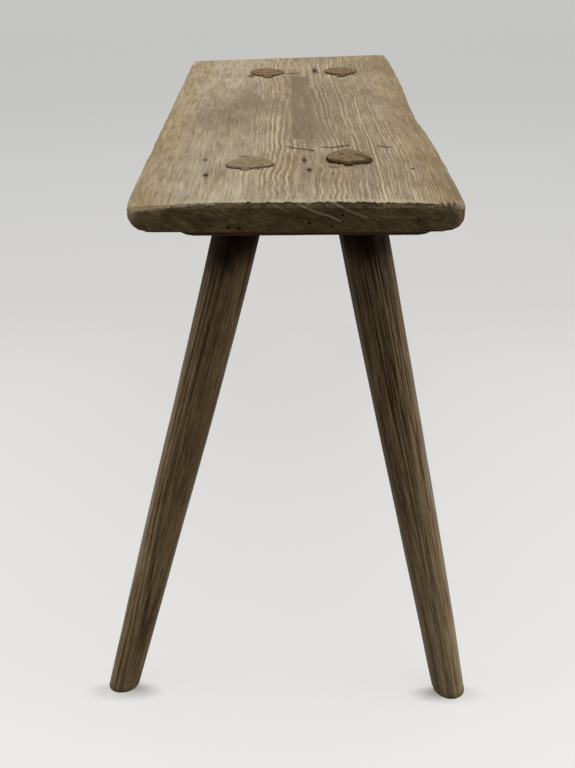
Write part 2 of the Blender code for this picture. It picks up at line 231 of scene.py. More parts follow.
# Meshes
class WorkPiece:
    """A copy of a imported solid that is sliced, carved and worn before it becomes a scene object."""

    def __init__(self, frame: dict, node: str) -> None:
        """Copy a node's mesh and clean its flat faces.

        Args:
            node: Name of the CAD node.
        """
        self.node = node
        source = frame["nodes"][node]
        self.shape = bmesh.new()
        self.shape.from_mesh(source.data)
        self.shape.transform(source.matrix_world)
        bmesh.ops.remove_doubles(self.shape, verts=self.shape.verts[:], dist=MERGE_DISTANCE)
        bmesh.ops.dissolve_limit(
            self.shape, angle_limit=math.radians(FLAT_ANGLE), verts=self.shape.verts[:],
            edges=self.shape.edges[:],
        )

    def carve(self, cutters: Iterable[Shape]) -> None:
        """Cut closed shapes out of the piece.

        Args:
            cutters: The shapes, which are used up.
        """
        target = object_from("carved", self.shape)
        tools = []
        for cutter in cutters:
            tool = object_from("cutter", cutter)
            tools.append(tool)
            step = target.modifiers.new("carve", "BOOLEAN")
            step.operation = "DIFFERENCE"
            step.solver = "EXACT"
            step.object = tool
        bpy.context.view_layer.update()
        graph = bpy.context.evaluated_depsgraph_get()
        mesh = bpy.data.meshes.new_from_object(target.evaluated_get(graph), depsgraph=graph)
        self.shape = bmesh.new()
        self.shape.from_mesh(mesh)
        bmesh.ops.remove_doubles(self.shape, verts=self.shape.verts[:], dist=MERGE_DISTANCE)
        for item in (target, *tools):
            bpy.data.objects.remove(item, do_unlink=True)
        bpy.data.meshes.remove(mesh)

    def slice(self, axis: Vector, places: Iterable[Vector], wanted: FaceTest | None = None) -> None:
        """Cut faces along planes, without opening the solid.

        Args:
            axis: The planes' normal.
            places: A point on each plane.
            wanted: Says which faces are cut, or all of them.
        """
        self.shape.normal_update()
        faces = [face for face in self.shape.faces if wanted is None or wanted(face)]
        edges = {edge for face in faces for edge in face.edges}
        verts = {vert for face in faces for vert in face.verts}
        geometry = [*verts, *edges, *faces]
        for place in places:
            cut = bmesh.ops.bisect_plane(
                self.shape, geom=geometry, dist=CUT_DISTANCE, plane_co=place, plane_no=axis,
            )
            geometry = cut["geom"]

    def grid(
        self, axis: Vector, low: float, high: float, spacing: float, wanted: FaceTest | None = None,
    ) -> None:
        """Cut faces at even places along one of the world's axes."""
        self.slice(axis, [axis * place for place in steps(low, high, spacing)], wanted)

    def turn_slices(self, centre: Vector, axis: Vector, first: Vector, count: int) -> None:
        """Cut the piece along planes that all hold one axis, as the slices of a cake.

        Args:
            centre: A point on the axis.
            axis: The axis.
            first: Normal of the first plane, square to the axis.
            count: How many planes share the half turn.
        """
        for step in range(count):
            turn = Matrix.Rotation(math.pi * (step + 0.5) / count, 4, axis)
            self.slice(turn @ first, [centre])

    def wear(self, move: Callable[[Vector, Vector], Vector]) -> None:
        """Move each point by a rule of its place and its outward direction, within the node's own box.

        Args:
            move: Gives the shift of a point from its place and normal.
        """
        self.shape.normal_update()
        low, high = (Vector(corner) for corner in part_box(self.node))
        shifts = [move(vert.co.copy(), vert.normal.copy()) for vert in self.shape.verts]
        for vert, shift in zip(self.shape.verts, shifts):
            vert.co += shift
            for axis in range(3):
                vert.co[axis] = min(max(vert.co[axis], low[axis]), high[axis])

    def mark(self, name: Mark, rule: Rule | float) -> None:
        """Store a number on each point for the finish to read.

        Args:
            name: The attribute's name.
            rule: The number, or what gives it from a point's place and normal.
        """
        self.shape.normal_update()
        layer = self.shape.verts.layers.float.new(name.value)
        for vert in self.shape.verts:
            vert[layer] = rule(vert.co, vert.normal) if callable(rule) else rule

    def mark_place(self, rule: Callable[[Vector], Vector]) -> None:
        """Store each point's place in the wood's own axes.

        Args:
            rule: Gives that place from the point's place.
        """
        layer = self.shape.verts.layers.float_vector.new(Mark.WOOD.value)
        for vert in self.shape.verts:
            vert[layer] = rule(vert.co)

    def finish(self, name: str, finish: Finish, slot: str, sharp_angle: float) -> Piece:
        """Turn the shape into the piece that is shown in place of its node."""
        bmesh.ops.recalc_face_normals(self.shape, faces=self.shape.faces[:])
        return dress(object_from(name, self.shape), self.node, finish, sharp_angle)


def object_from(name: str, shape: Shape) -> Piece:
    """Make a scene object from a shape, which is used up.

    Args:
        name: The object's name.
        shape: Its geometry, in world places.

    Returns:
        The object.
    """
    mesh = bpy.data.meshes.new(name)
    shape.to_mesh(mesh)
    shape.free()
    item = bpy.data.objects.new(name, mesh)
    bpy.context.scene.collection.objects.link(item)
    return item


def dress(piece: Piece, node: str, finish: Finish, sharp_angle: float) -> Piece:
    """Give a piece its finish and its shading, and let it stand for its node.

    Args:
        piece: The scene object.
        node: The CAD node that it is shown in place of.
        finish: Its material.
        sharp_angle: Edges sharper than this, in degrees, stay crisp.

    Returns:
        The same object.
    """
    piece.data.materials.append(finish)
    piece.data.shade_smooth()
    piece.data.set_sharp_from_angle(angle=math.radians(sharp_angle))
    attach(piece, "root")
    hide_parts(node)
    return piece


def steps(start: float, stop: float, spacing: float) -> list[float]:
    """Even places between two ends, with about the given spacing.

    Args:
        start: First end, left out.
        stop: Second end, left out.
        spacing: Wished distance.

    Returns:
        The places.
    """
    count = max(2, round((stop - start) / spacing))
    return [start + (stop - start) * step / count for step in range(1, count)]


# Finishes
class Graph:
    """A material's node tree, with short ways to add the nodes that the finishes use."""

    # Places of the factor and the two colours among a Mix node's sockets
    COLOUR_INPUTS = (0, 6, 7)
    COLOUR_OUTPUT = 2

    def __init__(self, name: str) -> None:
        """Start a material with an empty Principled shader.

        Args:
            name: The material's name.
        """
        self.material = bpy.data.materials.new(name)
        self.material.use_nodes = True
        self.tree = self.material.node_tree
        self.shader = self.tree.nodes["Principled BSDF"]

    def add(self, kind: str, links: dict | None = None, **settings: object) -> bpy.types.Node:
        """Add a node.

        Args:
            kind: The node's type.
            links: Input index or name, and the socket or value that it gets.
            settings: Properties of the node.

        Returns:
            The node.
        """
        node = self.tree.nodes.new(kind)
        for key, value in settings.items():
            setattr(node, key, value)
        for key, value in (links or {}).items():
            self.feed(node.inputs[key], value)
        return node

    def feed(self, socket: Socket, value: Value) -> None:
        """Link a socket, or set its value.

        Args:
            socket: The input.
            value: Another node's output, or a plain value.
        """
        if isinstance(value, Socket):
            self.tree.links.new(value, socket)
        elif isinstance(value, (tuple, list)) and len(value) == 3 and socket.type == "RGBA":
            socket.default_value = (*value, 1.0)
        else:
            socket.default_value = value

    def set(self, name: str, value: Value) -> None:
        """Link or set an input of the shader."""
        self.feed(self.shader.inputs[name], value)

    def carried(self, mark: Mark) -> bpy.types.Node:
        """Node that reads what the mesh carries on its points."""
        return self.add("ShaderNodeAttribute", attribute_type="GEOMETRY", attribute_name=mark.value)

    def number(self, mark: Mark) -> Socket:
        """Read a number that the mesh carries."""
        return self.carried(mark).outputs["Fac"]

    def place(self, mark: Mark) -> Socket:
        """Read a place that the mesh carries."""
        return self.carried(mark).outputs["Vector"]

    def object_place(self) -> Socket:
        """Place in the object's own axes."""
        return self.add("ShaderNodeTexCoord").outputs["Object"]

    def stretched(self, vector: Socket, scale: Triple) -> Socket:
        """Scale a place axis by axis."""
        return self.add("ShaderNodeVectorMath", {0: vector, 1: scale}, operation="MULTIPLY").outputs[0]

    def noise(self, place: Socket, layer: Layer) -> Socket:
        """Fractal noise from 0 to 1.

        Args:
            place: Where it is read.
            layer: How fine and rough it is, and how it is stretched.

        Returns:
            The value.
        """
        links = {
            "Vector": self.stretched(place, layer.stretch), "Scale": layer.scale, "Detail": layer.detail,
            "Roughness": layer.roughness,
        }
        return self.add("ShaderNodeTexNoise", links).outputs["Fac"]

    def maths(self, operation: str, first: Value, second: Value = 0.0) -> Socket:
        """Join two numbers."""
        return self.add("ShaderNodeMath", {0: first, 1: second}, operation=operation).outputs[0]

    def times(self, first: Value, second: Value) -> Socket:
        """Multiply two numbers."""
        return self.maths("MULTIPLY", first, second)

    def band(
        self, value: Value, low: float, high: float, start: float = 0.0, end: float = 1.0,
    ) -> Socket:
        """Smoothly map a range of values to another, held at its ends."""
        links = {"Value": value, "From Min": low, "From Max": high, "To Min": start, "To Max": end}
        return self.add("ShaderNodeMapRange", links, interpolation_type="SMOOTHSTEP").outputs["Result"]

    def plateau(self, value: Socket, span: Span) -> Socket:
        """Ease up to 1 and down again, as the sum of the same name does."""
        rise, full, fall, end = span
        return self.times(self.band(value, rise, full), self.band(value, fall, end, 1.0, 0.0))

    def ramp(self, value: Socket, stops: Stops) -> Socket:
        """Colour ramp.

        Args:
            value: Where it is read.
            stops: Places and colours.

        Returns:
            The colour.
        """
        node = self.add("ShaderNodeValToRGB", {0: value})
        elements = node.color_ramp.elements
        while len(elements) < len(stops):
            elements.new(0.5)
        for element, (place, colour) in zip(elements, stops):
            element.position = place
            element.color = (*colour, 1.0)
        return node.outputs["Color"]

    def mix(self, factor: Value, first: Value, second: Value) -> Socket:
        """Mix two colours.

        Args:
            factor: Share of the second.
            first: First colour.
            second: Second colour.

        Returns:
            The mixed colour.
        """
        node = self.add("ShaderNodeMix", data_type="RGBA")
        for index, value in zip(self.COLOUR_INPUTS, (factor, first, second)):
            self.feed(node.inputs[index], value)
        return node.outputs[self.COLOUR_OUTPUT]

    def tone(
        self, colour: Value, other: Value, value: Value, low: float, high: float, start: float = 0.0,
        end: float = 1.0,
    ) -> Socket:
        """Mix a second colour into a first where a number lies in a band."""
        return self.mix(self.band(value, low, high, start, end), colour, other)

    def bump(
        self, height: Socket, distance: float, strength: float = 1.0, normal: Socket | None = None,
    ) -> Socket:
        """Bump of a height in metres.

        Args:
            height: The height, as a share of the distance.
            distance: Full height.
            strength: Share of the effect.
            normal: Normal of an earlier bump.

        Returns:
            The normal.
        """
        links = {"Height": height, "Distance": distance, "Strength": strength}
        if normal is not None:
            links["Normal"] = normal
        return self.add("ShaderNodeBump", links).outputs["Normal"]


@dataclass(frozen=True)
class SeatWood:
    """Sun-bleached, scrubbed pine: cream ridges, grey-beige hollows, honey edges and dark olive ends."""

    hollow: Colour = (0.248, 0.186, 0.112)
    grey: Colour = (0.272, 0.218, 0.150)
    ridge: Colour = (0.540, 0.448, 0.290)
    stain: Colour = (0.150, 0.108, 0.070)
    bleached: Colour = (0.470, 0.420, 0.325)
    honey: Colour = (0.250, 0.165, 0.063)
    end: Colour = (0.182, 0.141, 0.070)
    end_late: Colour = (0.056, 0.038, 0.016)
    scratch: Colour = (0.380, 0.320, 0.200)
    # Near black of dirt, and of painted shade on recess walls and the painted shadow under the near lip
    dirt_and_shade: Colour = (0.022, 0.014, 0.008)
    fibres: Layer = Layer(560.0, 5.0, 0.70, (1.0, 0.050, 1.0))
    mottle: Layer = Layer(190.0, 6.0, 0.74, (1.0, 0.13, 1.0))
    clouds: Layer = Layer(42.0, 4.0, 0.65, (1.0, 0.40, 1.0))
    streaks: Layer = Layer(150.0, 4.0, 0.60, (1.0, 0.07, 1.0))
    patches: Layer = Layer(17.0, 4.0, 0.62, (1.0, 0.55, 1.0))
    saw_marks: Layer = Layer(950.0, 5.0, 0.78, (0.13, 1.0, 1.0))
    saw_bands: Layer = Layer(170.0, 3.0, 0.60, (0.16, 1.0, 1.0))
    end_mottle: Layer = Layer(75.0, 6.0, 0.72, (0.7, 1.0, 1.3))
    saw_turn: float = -28.0
    end_middle: float = 0.020
    end_middle_reach: tuple[float, float] = (0.020, 0.090)
    late_depth: float = 0.00022
    fibre_depth: float = 0.00030
    sheen: float = 0.10

    def build(self) -> Finish:
        """Make the material.

        Returns:
            The material.
        """
        graph = Graph("seat_wood_worn")
        place = graph.object_place()
        fibres = graph.noise(place, self.fibres)
        mottle = graph.noise(place, self.mottle)
        clouds = graph.noise(place, self.clouds)
        streaks = graph.noise(place, self.streaks)
        patches = graph.noise(place, self.patches)
        part = graph.maths("FRACT", graph.number(Mark.RING))
        late = graph.times(graph.plateau(part, LATE_WOOD), graph.number(Mark.LINE))
        groove = graph.times(graph.band(part, 0.02, 0.22, 1.0, 0.0), graph.number(Mark.LINE))
        ground = graph.tone(self.hollow, self.grey, patches, 0.35, 0.65)
        late_share = graph.times(late, graph.band(mottle, 0.34, 0.56, 0.25, 1.0))
        ground = graph.tone(ground, self.stain, clouds, 0.36, 0.52, 0.28, 0.0)
        ground = graph.tone(ground, self.bleached, clouds, 0.52, 0.68, 0.0, 0.28)
        ground = graph.mix(graph.number(Mark.BLEACH_AND_SHEEN), ground, self.bleached)
        honey_share = graph.times(graph.number(Mark.HONEY), graph.band(streaks, 0.25, 0.75, 0.95, 0.45))
        ground = graph.mix(honey_share, ground, self.honey)
        ground = graph.tone(ground, self.stain, mottle, 0.34, 0.50, 0.45, 0.0)
        ground = graph.tone(ground, self.ridge, mottle, 0.50, 0.66, 0.0, 0.34)
        # Painted shadow: a dark line in the groove just past each raised late-wood ridge
        colour = graph.mix(graph.times(groove, 0.55), ground, self.stain)
        colour = graph.tone(colour, self.stain, fibres, 0.34, 0.50, 0.62, 0.0)
        colour = graph.tone(colour, self.ridge, fibres, 0.50, 0.68, 0.0, 0.42)
        colour = graph.mix(late_share, colour, self.ridge)
        stain_share = graph.times(graph.number(Mark.STAIN), graph.band(streaks, 0.2, 0.8, 0.80, 0.50))
        colour = graph.mix(stain_share, colour, self.stain)
        colour = graph.mix(graph.number(Mark.PALE), colour, self.ridge)
        colour = graph.mix(graph.number(Mark.END), colour, self.end_colour(graph, place, late))
        # Dirt, painted shade on recess walls and the painted shadow under the near lip
        colour = graph.mix(graph.number(Mark.DIRT_AND_SHADE), colour, self.dirt_and_shade)
        graph.set("Base Color", colour)
        graph.set("Roughness", graph.band(late_share, 0.0, 1.0, 0.86, 0.66))
        relief = graph.bump(late, self.late_depth, 0.8)
        graph.set("Normal", graph.bump(fibres, self.fibre_depth, 0.9, relief))
        graph.set("Specular IOR Level", self.sheen)
        return graph.material

    def end_colour(self, graph: Graph, place: Socket, late: Socket) -> Socket:
        """Colour of the sawn ends, with slanting tool marks.

        Args:
            graph: The material's graph.
            place: Place on the plank.
            late: The late wood's share.

        Returns:
            The colour.
        """
        links = {"Vector": place, "Angle": math.radians(self.saw_turn)}
        turned = graph.add("ShaderNodeVectorRotate", links, rotation_type="Y_AXIS").outputs[0]
        marks = graph.noise(turned, self.saw_marks)
        bands = graph.noise(turned, self.saw_bands)
        mottle = graph.noise(place, self.end_mottle)
        colour = graph.mix(graph.times(late, 0.30), self.end, self.end_late)
        colour = graph.tone(colour, self.end_late, marks, 0.38, 0.54, 0.85, 0.0)
        colour = graph.tone(colour, self.scratch, marks, 0.55, 0.68, 0.0, 0.30)
        colour = graph.tone(colour, self.end_late, bands, 0.38, 0.54, 0.48, 0.0)
        colour = graph.tone(colour, self.end_late, mottle, 0.42, 0.54, 0.62, 0.0)
        colour = graph.tone(colour, self.honey, mottle, 0.56, 0.72, 0.0, 0.50)
        across = graph.add("ShaderNodeSeparateXYZ", {0: place}).outputs[0]
        away = graph.maths("ABSOLUTE", graph.maths("SUBTRACT", across, self.end_middle))
        colour = graph.tone(colour, self.end_late, away, *self.end_middle_reach, 0.42, 0.0)
        return graph.mix(graph.number(Mark.SCRATCH), colour, self.scratch)


@dataclass(frozen=True)
class DarkWood:
    """Old handled wood with long fibres, for legs, wedges and battens."""

    name: str
    body: Colour = (0.150, 0.093, 0.038)
    # Grey of the painted sheen along a leg's left and right edges
    fibre: Colour = (0.040, 0.022, 0.009)
    pale: Colour = (0.375, 0.285, 0.165)
    edge: Colour = (0.260, 0.235, 0.185)
    end: Colour = (0.262, 0.202, 0.124)
    end_late: Colour = (0.130, 0.094, 0.056)
    # Near black of dirt, and of painted shade under the seat, on inner sides and between parts
    dirt_and_shade: Colour = (0.009, 0.0033, 0.0008)
    grime: Colour = (0.046, 0.025, 0.006)
    late_share: float = 0.90
    light_share: float = 0.35
    line_share: float = 0.30
    # How much paler the wood grows towards the foot
    low_paling: float = 0.30
    roughness_low: float = 0.50
    roughness_high: float = 0.76
    sheen: float = 0.05
    streak_depth: float = 0.00035
    fibre_depth: float = 0.00022
    fibres: Layer = Layer(900.0, 6.0, 0.76, (1.0, 1.0, 0.055))
    streaks: Layer = Layer(260.0, 5.0, 0.68, (1.0, 1.0, 0.030))
    blotches: Layer = Layer(34.0, 4.0, 0.60, (1.0, 1.0, 0.30))
    lines: Layer = Layer(760.0, 3.0, 0.60, (1.0, 1.0, 0.014))
    end_marks: Layer = Layer(300.0, 5.0, 0.72, (0.45, 1.0, 0.5))
    dark_wood: Span = (0.0, 0.18, 0.26, 0.55)
    light_wood: Span = (0.55, 0.75, 0.85, 1.0)

    def build(self) -> Finish:
        """Make the material.

        Returns:
            The material.
        """
        graph = Graph(self.name)
        place = graph.place(Mark.WOOD)
        fibres = graph.noise(place, self.fibres)
        streaks = graph.noise(place, self.streaks)
        blotches = graph.noise(place, self.blotches)
        lines = graph.noise(place, self.lines)
        part = graph.maths("FRACT", graph.number(Mark.RING))
        dark = graph.times(graph.plateau(part, self.dark_wood), graph.number(Mark.LINE))
        light = graph.times(graph.plateau(part, self.light_wood), graph.number(Mark.LINE))
        colour = graph.tone(self.body, self.fibre, blotches, 0.35, 0.65, 0.0, 0.5)
        colour = graph.tone(colour, self.pale, streaks, 0.50, 0.70, 0.0, 0.30)
        colour = graph.mix(graph.times(light, self.light_share), colour, self.pale)
        colour = graph.mix(graph.times(dark, self.late_share), colour, self.fibre)
        colour = graph.tone(colour, self.pale, fibres, 0.52, 0.66, 0.0, 0.62)
        colour = graph.tone(colour, self.fibre, fibres, 0.34, 0.49, 0.85, 0.0)
        colour = graph.tone(colour, self.pale, lines, 0.53, 0.60, 0.0, self.line_share * 0.6)
        # Painted sheen: grey along a leg's left and right edges, where the mesh marks it
        colour = graph.mix(graph.number(Mark.BLEACH_AND_SHEEN), colour, self.edge)
        colour = graph.tone(colour, self.fibre, lines, 0.40, 0.47, self.line_share, 0.0)
        # Paler towards the foot, where the height share is low
        lower = graph.band(graph.number(Mark.HEIGHT), 0.0, 0.62, self.low_paling, 0.0)
        colour = graph.mix(graph.times(lower, graph.band(streaks, 0.3, 0.6)), colour, self.pale)
        colour = graph.mix(graph.times(graph.number(Mark.PALE), 0.60), colour, self.pale)
        marks = graph.noise(graph.object_place(), self.end_marks)
        end = graph.mix(graph.times(dark, 0.55), self.end, self.end_late)
        end = graph.tone(end, self.end_late, streaks, 0.45, 0.70, 0.0, 0.45)
        end = graph.tone(end, self.end_late, marks, 0.40, 0.50, 0.85, 0.0)
        end = graph.tone(end, self.pale, marks, 0.54, 0.64, 0.0, 0.30)
        colour = graph.mix(graph.number(Mark.END), colour, end)
        colour = graph.mix(graph.number(Mark.GRIME), colour, self.grime)
        # Dirt, with painted shade under the seat, on the legs' inner sides and between parts
        dirt_and_shade_share = graph.times(graph.number(Mark.DIRT_AND_SHADE), graph.band(blotches, 0.2, 0.8, 1.0, 0.95))
        colour = graph.mix(dirt_and_shade_share, colour, self.dirt_and_shade)
        graph.set("Base Color", colour)
        graph.set("Roughness", graph.band(fibres, 0.3, 0.7, self.roughness_high, self.roughness_low))
        relief = graph.bump(streaks, self.streak_depth, 0.9)
        graph.set("Normal", graph.bump(fibres, self.fibre_depth, 0.9, relief))
        graph.set("Specular IOR Level", self.sheen)
        return graph.material


@dataclass(frozen=True)
class RustedIron:
    """Rusted nail iron."""

    dark: Colour = (0.018, 0.013, 0.010)
    rust: Colour = (0.085, 0.038, 0.018)
    spots: Layer = Layer(900.0, 4.0, 0.70)
    spot_depth: float = 0.0002
    metal_share: float = 0.55

    def build(self) -> Finish:
        """Make the material.

        Returns:
            The material.
        """
        graph = Graph("nail_iron_rusted")
        spots = graph.noise(graph.object_place(), self.spots)
        graph.set("Base Color", graph.tone(self.dark, self.rust, spots, 0.45, 0.65))
        graph.set("Roughness", graph.band(spots, 0.35, 0.7, 0.55, 0.9))
        graph.set("Normal", graph.bump(spots, self.spot_depth))
        graph.set("Metallic", self.metal_share)
        return graph.material


# Spots on the seat's top, and the joints there
@dataclass(frozen=True)
class TenonSpot:
    """Where a leg's tenon shows in the seat's top."""

    x: float
    y: float
    half_x: float
    half_y: float
    belly: float
    proud: float = 0.0

    @classmethod
    def of_leg(cls, frame: dict, node: str, proud: float = 0.0) -> TenonSpot:
        """Read the spot from the top of a leg's node.

        Args:
            node: The leg's node.
            proud: How far the tenon's end stands above the worn seat on its near side.

        Returns:
            The spot.
        """
        points = [vert.co for vert in frame["nodes"][node].data.vertices]
        top = max(point.z for point in points)
        rim = [point for point in points if point.z > top - FLOAT_NOISE]
        low_x, high_x = min(p.x for p in rim), max(p.x for p in rim)
        low_y, high_y = min(p.y for p in rim), max(p.y for p in rim)
        middle = ((low_x + high_x) / 2, (low_y + high_y) / 2)
        tips = (min(rim, key=lambda point: point.x), max(rim, key=lambda point: point.x))
        belly = max(middle[1] - (tips[0].y + tips[1].y) / 2, 0.0)
        return cls(*middle, (high_x - low_x) / 2, (high_y - low_y) / 2, belly, proud)

    def shares(self, x: float, y: float) -> tuple[float, float]:
        """A place in shares of the outline's half sizes, with its flat near side drawn round again."""
        across = (x - self.x) / self.half_x
        return across, (y - self.y + self.belly * min(across * across, 1.2)) / self.half_y

    def grime(self, place: Vector, seed: float) -> float:
        """Old grime along the near side of the tenon's end and at its tips.

        Args:
            place: A place on the end.
            seed: Seed of its frayed border.

        Returns:
            From 0 to 1.
        """
        across, along = self.shares(place.x, place.y)
        nearness = 1.0 - along - math.sqrt(max(1.0 - across * across, 0.0))
        fray = 0.20 * rough(place.x * 150, place.y * 60, seed)
        return smoothstep(0.62, 0.84, nearness + fray)

    def outside(self, x: float, y: float) -> float:
        """Rough distance of a place outside the tenon's outline, negative inside."""
        return (math.hypot(*self.shares(x, y)) - 1.0) * (self.half_x + self.half_y) / 2


class Joint:
    """The solids on the other side of a joint, which a worn surface closes onto."""

    def __init__(self, frame: dict, nodes: Iterable[str]) -> None:
        """Read the solids.

        Args:
            nodes: Their nodes.
        """
        self.trees = []
        for node in nodes:
            shape = bmesh.new()
            shape.from_mesh(frame["nodes"][node].data)
            self.trees.append(BVHTree.FromBMesh(shape))
            shape.free()

    def closing(self, place: Vector, share: float, reach: float = 0.0007) -> Vector:
        """Shift that closes a share of the gap at a place.

        Args:
            place: A place on this side of the joint.
            share: The share of the gap to close.
            reach: Widest gap that counts as this joint.

        Returns:
            The shift, or zero where nothing is within reach.
        """
        found = [tree.find_nearest(place, reach) for tree in self.trees]
        spots = [(distance, spot) for spot, _, _, distance in found if spot is not None]
        return (min(spots, key=lambda item: item[0])[1] - place) * share if spots else Vector()


@dataclass(frozen=True)
class NailSpot:
    """Where a nail was driven, and the rust stain that it has drawn along the grain."""

    x: float
    y: float
    reach: float
    depth: float
    drawn: float

    @classmethod
    def of_nail(cls, name: str) -> NailSpot:
        """Read the spot from a nail's box."""
        low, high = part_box("nail_" + name)
        return cls((low[0] + high[0]) / 2, (low[1] + high[1]) / 2, *NAIL_STAINS[name])

    def stain(self, x: float, y: float) -> float:
        """How dark the stain is at a place."""
        return self.depth * lobe(math.hypot(x - self.x, (y - self.y) * self.drawn), self.reach)


# Reach, darkness and drawn share of each nail's stain
NAIL_STAINS = {
    "near_1": (0.0012, 0.60, 0.32),
    "near_2": (0.0017, 0.95, 0.20),
    "near_3": (0.0018, 1.00, 0.15),
    "near_4": (0.0019, 1.00, 0.26),
    "near_5": (0.0014, 0.45, 0.50),
    "far_1": (0.0018, 0.35, 0.40),
    "far_2": (0.0044, 1.00, 0.20),
}


@dataclass(frozen=True)
class GrowthRings:
    """Year rings of the plank's tree, about a wandering pith line below the seat's top."""

    top: float
    pith_x: float = 0.008
    pith_depth: float = 0.027
    rings_per_metre: float = 135.0
    tightening: float = 1200.0
    near_waves: Patch = Patch(0.015, -0.305, 0.065, 0.090)
    knot: Patch = Patch(0.012, -0.222, 0.026, 0.030)

    def count(self, place: Vector) -> float:
        """Count of year rings from the pith to a place, with a fraction inside the ring.

        Args:
            place: A place in the plank.

        Returns:
            The count.
        """
        x, y, z = place
        waves = self.near_waves.share(x, y)
        wander = 0.006 * rough(3.1, y * 2.6, 0.0, 2) + waves * 0.0075 * rough(x * 8, y * 22, 3.0, 2)
        depth = self.pith_depth * (1.0 - 0.65 * smoothstep(0.20, -0.30, y))
        depth += 0.003 * rough(9.7, y * 4.0, 0.0, 2)
        reach = math.hypot(x - self.pith_x - wander, z - self.top + depth)
        reach += 0.0018 * rough(x * 13, y * 5.5, 4.0, 2) + 0.0013 * rough(x * 20, y * 17, 6.0, 2)
        reach += 0.0005 * rough(x * 40, y * 42, 8.0, 2)
        years = self.rings_per_metre * reach + self.tightening * reach * reach
        return years + 0.6 * rough(years * 0.45, 7.0, 0.0, 2)

    def strength(self, place: Vector, count: float) -> float:
        """How strongly a ring's late wood stands out at a place.

        Args:
            place: A place in the plank.
            count: The ring count there.

        Returns:
            From 0 to 1.
        """
        year = 0.5 + 0.5 * noise.cell(Vector((math.floor(count) + 0.5, 4.5, 2.5)))
        zone = 0.30 + 0.70 * smoothstep(-0.062, -0.012, place.x) - 0.45 * smoothstep(0.075, 0.135, place.x)
        middle = abs(place.x - self.pith_x)
        zone *= 1.0 - (1.0 - smoothstep(0.012, 0.040, middle)) * 0.55 * smoothstep(-0.16, -0.12, place.y)
        zone *= 1.0 - 0.80 * self.knot.share(place.x, place.y)
        zone = max(zone, 0.75 * smoothstep(-0.19, -0.27, place.y) * smoothstep(-0.075, -0.045, place.x))
        patch = 0.75 + 0.75 * rough(place.x * 15, place.y * 9, 17.0, 3)
        return min(max((0.25 + 0.95 * year) * zone * patch, 0.0), 1.0)

    def ridge(self, count: float) -> float:
        """Height share of the hard late wood inside a ring."""
        return plateau(count % 1.0, LATE_WOOD)


@dataclass(frozen=True)
class Crack:
    """A crack in the seat's top, as a thin blade of air through listed points."""

    points: Line
    width: float = 0.0007
    depth: float = 0.0030

    def cutter(self, top: float) -> Shape:
        """The blade that cuts the crack.

        Args:
            top: Height of the seat's top.

        Returns:
            A closed shape.
        """
        shape = bmesh.new()
        count = len(self.points)
        sides: tuple[list[Vector], list[Vector]] = ([], [])
        for index, point in enumerate(self.points):
            before = Vector(self.points[max(index - 1, 0)])
            after = Vector(self.points[min(index + 1, count - 1)])
            run = (after - before).normalized()
            across = Vector((-run.y, run.x))
            half = self.width / 2 * (0.25 + math.sin(math.pi * (index + 0.5) / count))
            for side, line in zip((-1, 1), sides):
                line.append(Vector(point) + across * half * side)
        outline = [shape.verts.new((*place, top - self.depth)) for place in (*sides[0], *reversed(sides[1]))]
        floor = shape.faces.new(outline)
        lifted = bmesh.ops.extrude_face_region(shape, geom=[floor])
        moved = [item for item in lifted["geom"] if isinstance(item, bmesh.types.BMVert)]
        bmesh.ops.translate(shape, vec=Vector((0.0, 0.0, self.depth * 2)), verts=moved)
        bmesh.ops.recalc_face_normals(shape, faces=shape.faces[:])
        return shape


@dataclass(frozen=True)
class WormHole:
    """A round beetle hole, straight into the wood."""

    place: Triple
    inwards: Triple
    radius: float = 0.0008
    depth: float = 0.004
    taper_share: float = 0.8
    sides: int = 9

    def cutter(self) -> Shape:
        """The round bar that cuts the hole.

        Returns:
            A closed shape.
        """
        shape = bmesh.new()
        turn = Vector(self.inwards).to_track_quat("Z", "Y").to_matrix().to_4x4()
        bmesh.ops.create_cone(
            shape, cap_ends=True, segments=self.sides, radius1=self.radius,
            radius2=self.radius * self.taper_share, depth=self.depth * 2,
            matrix=Matrix.Translation(self.place) @ turn,
        )
        return shape


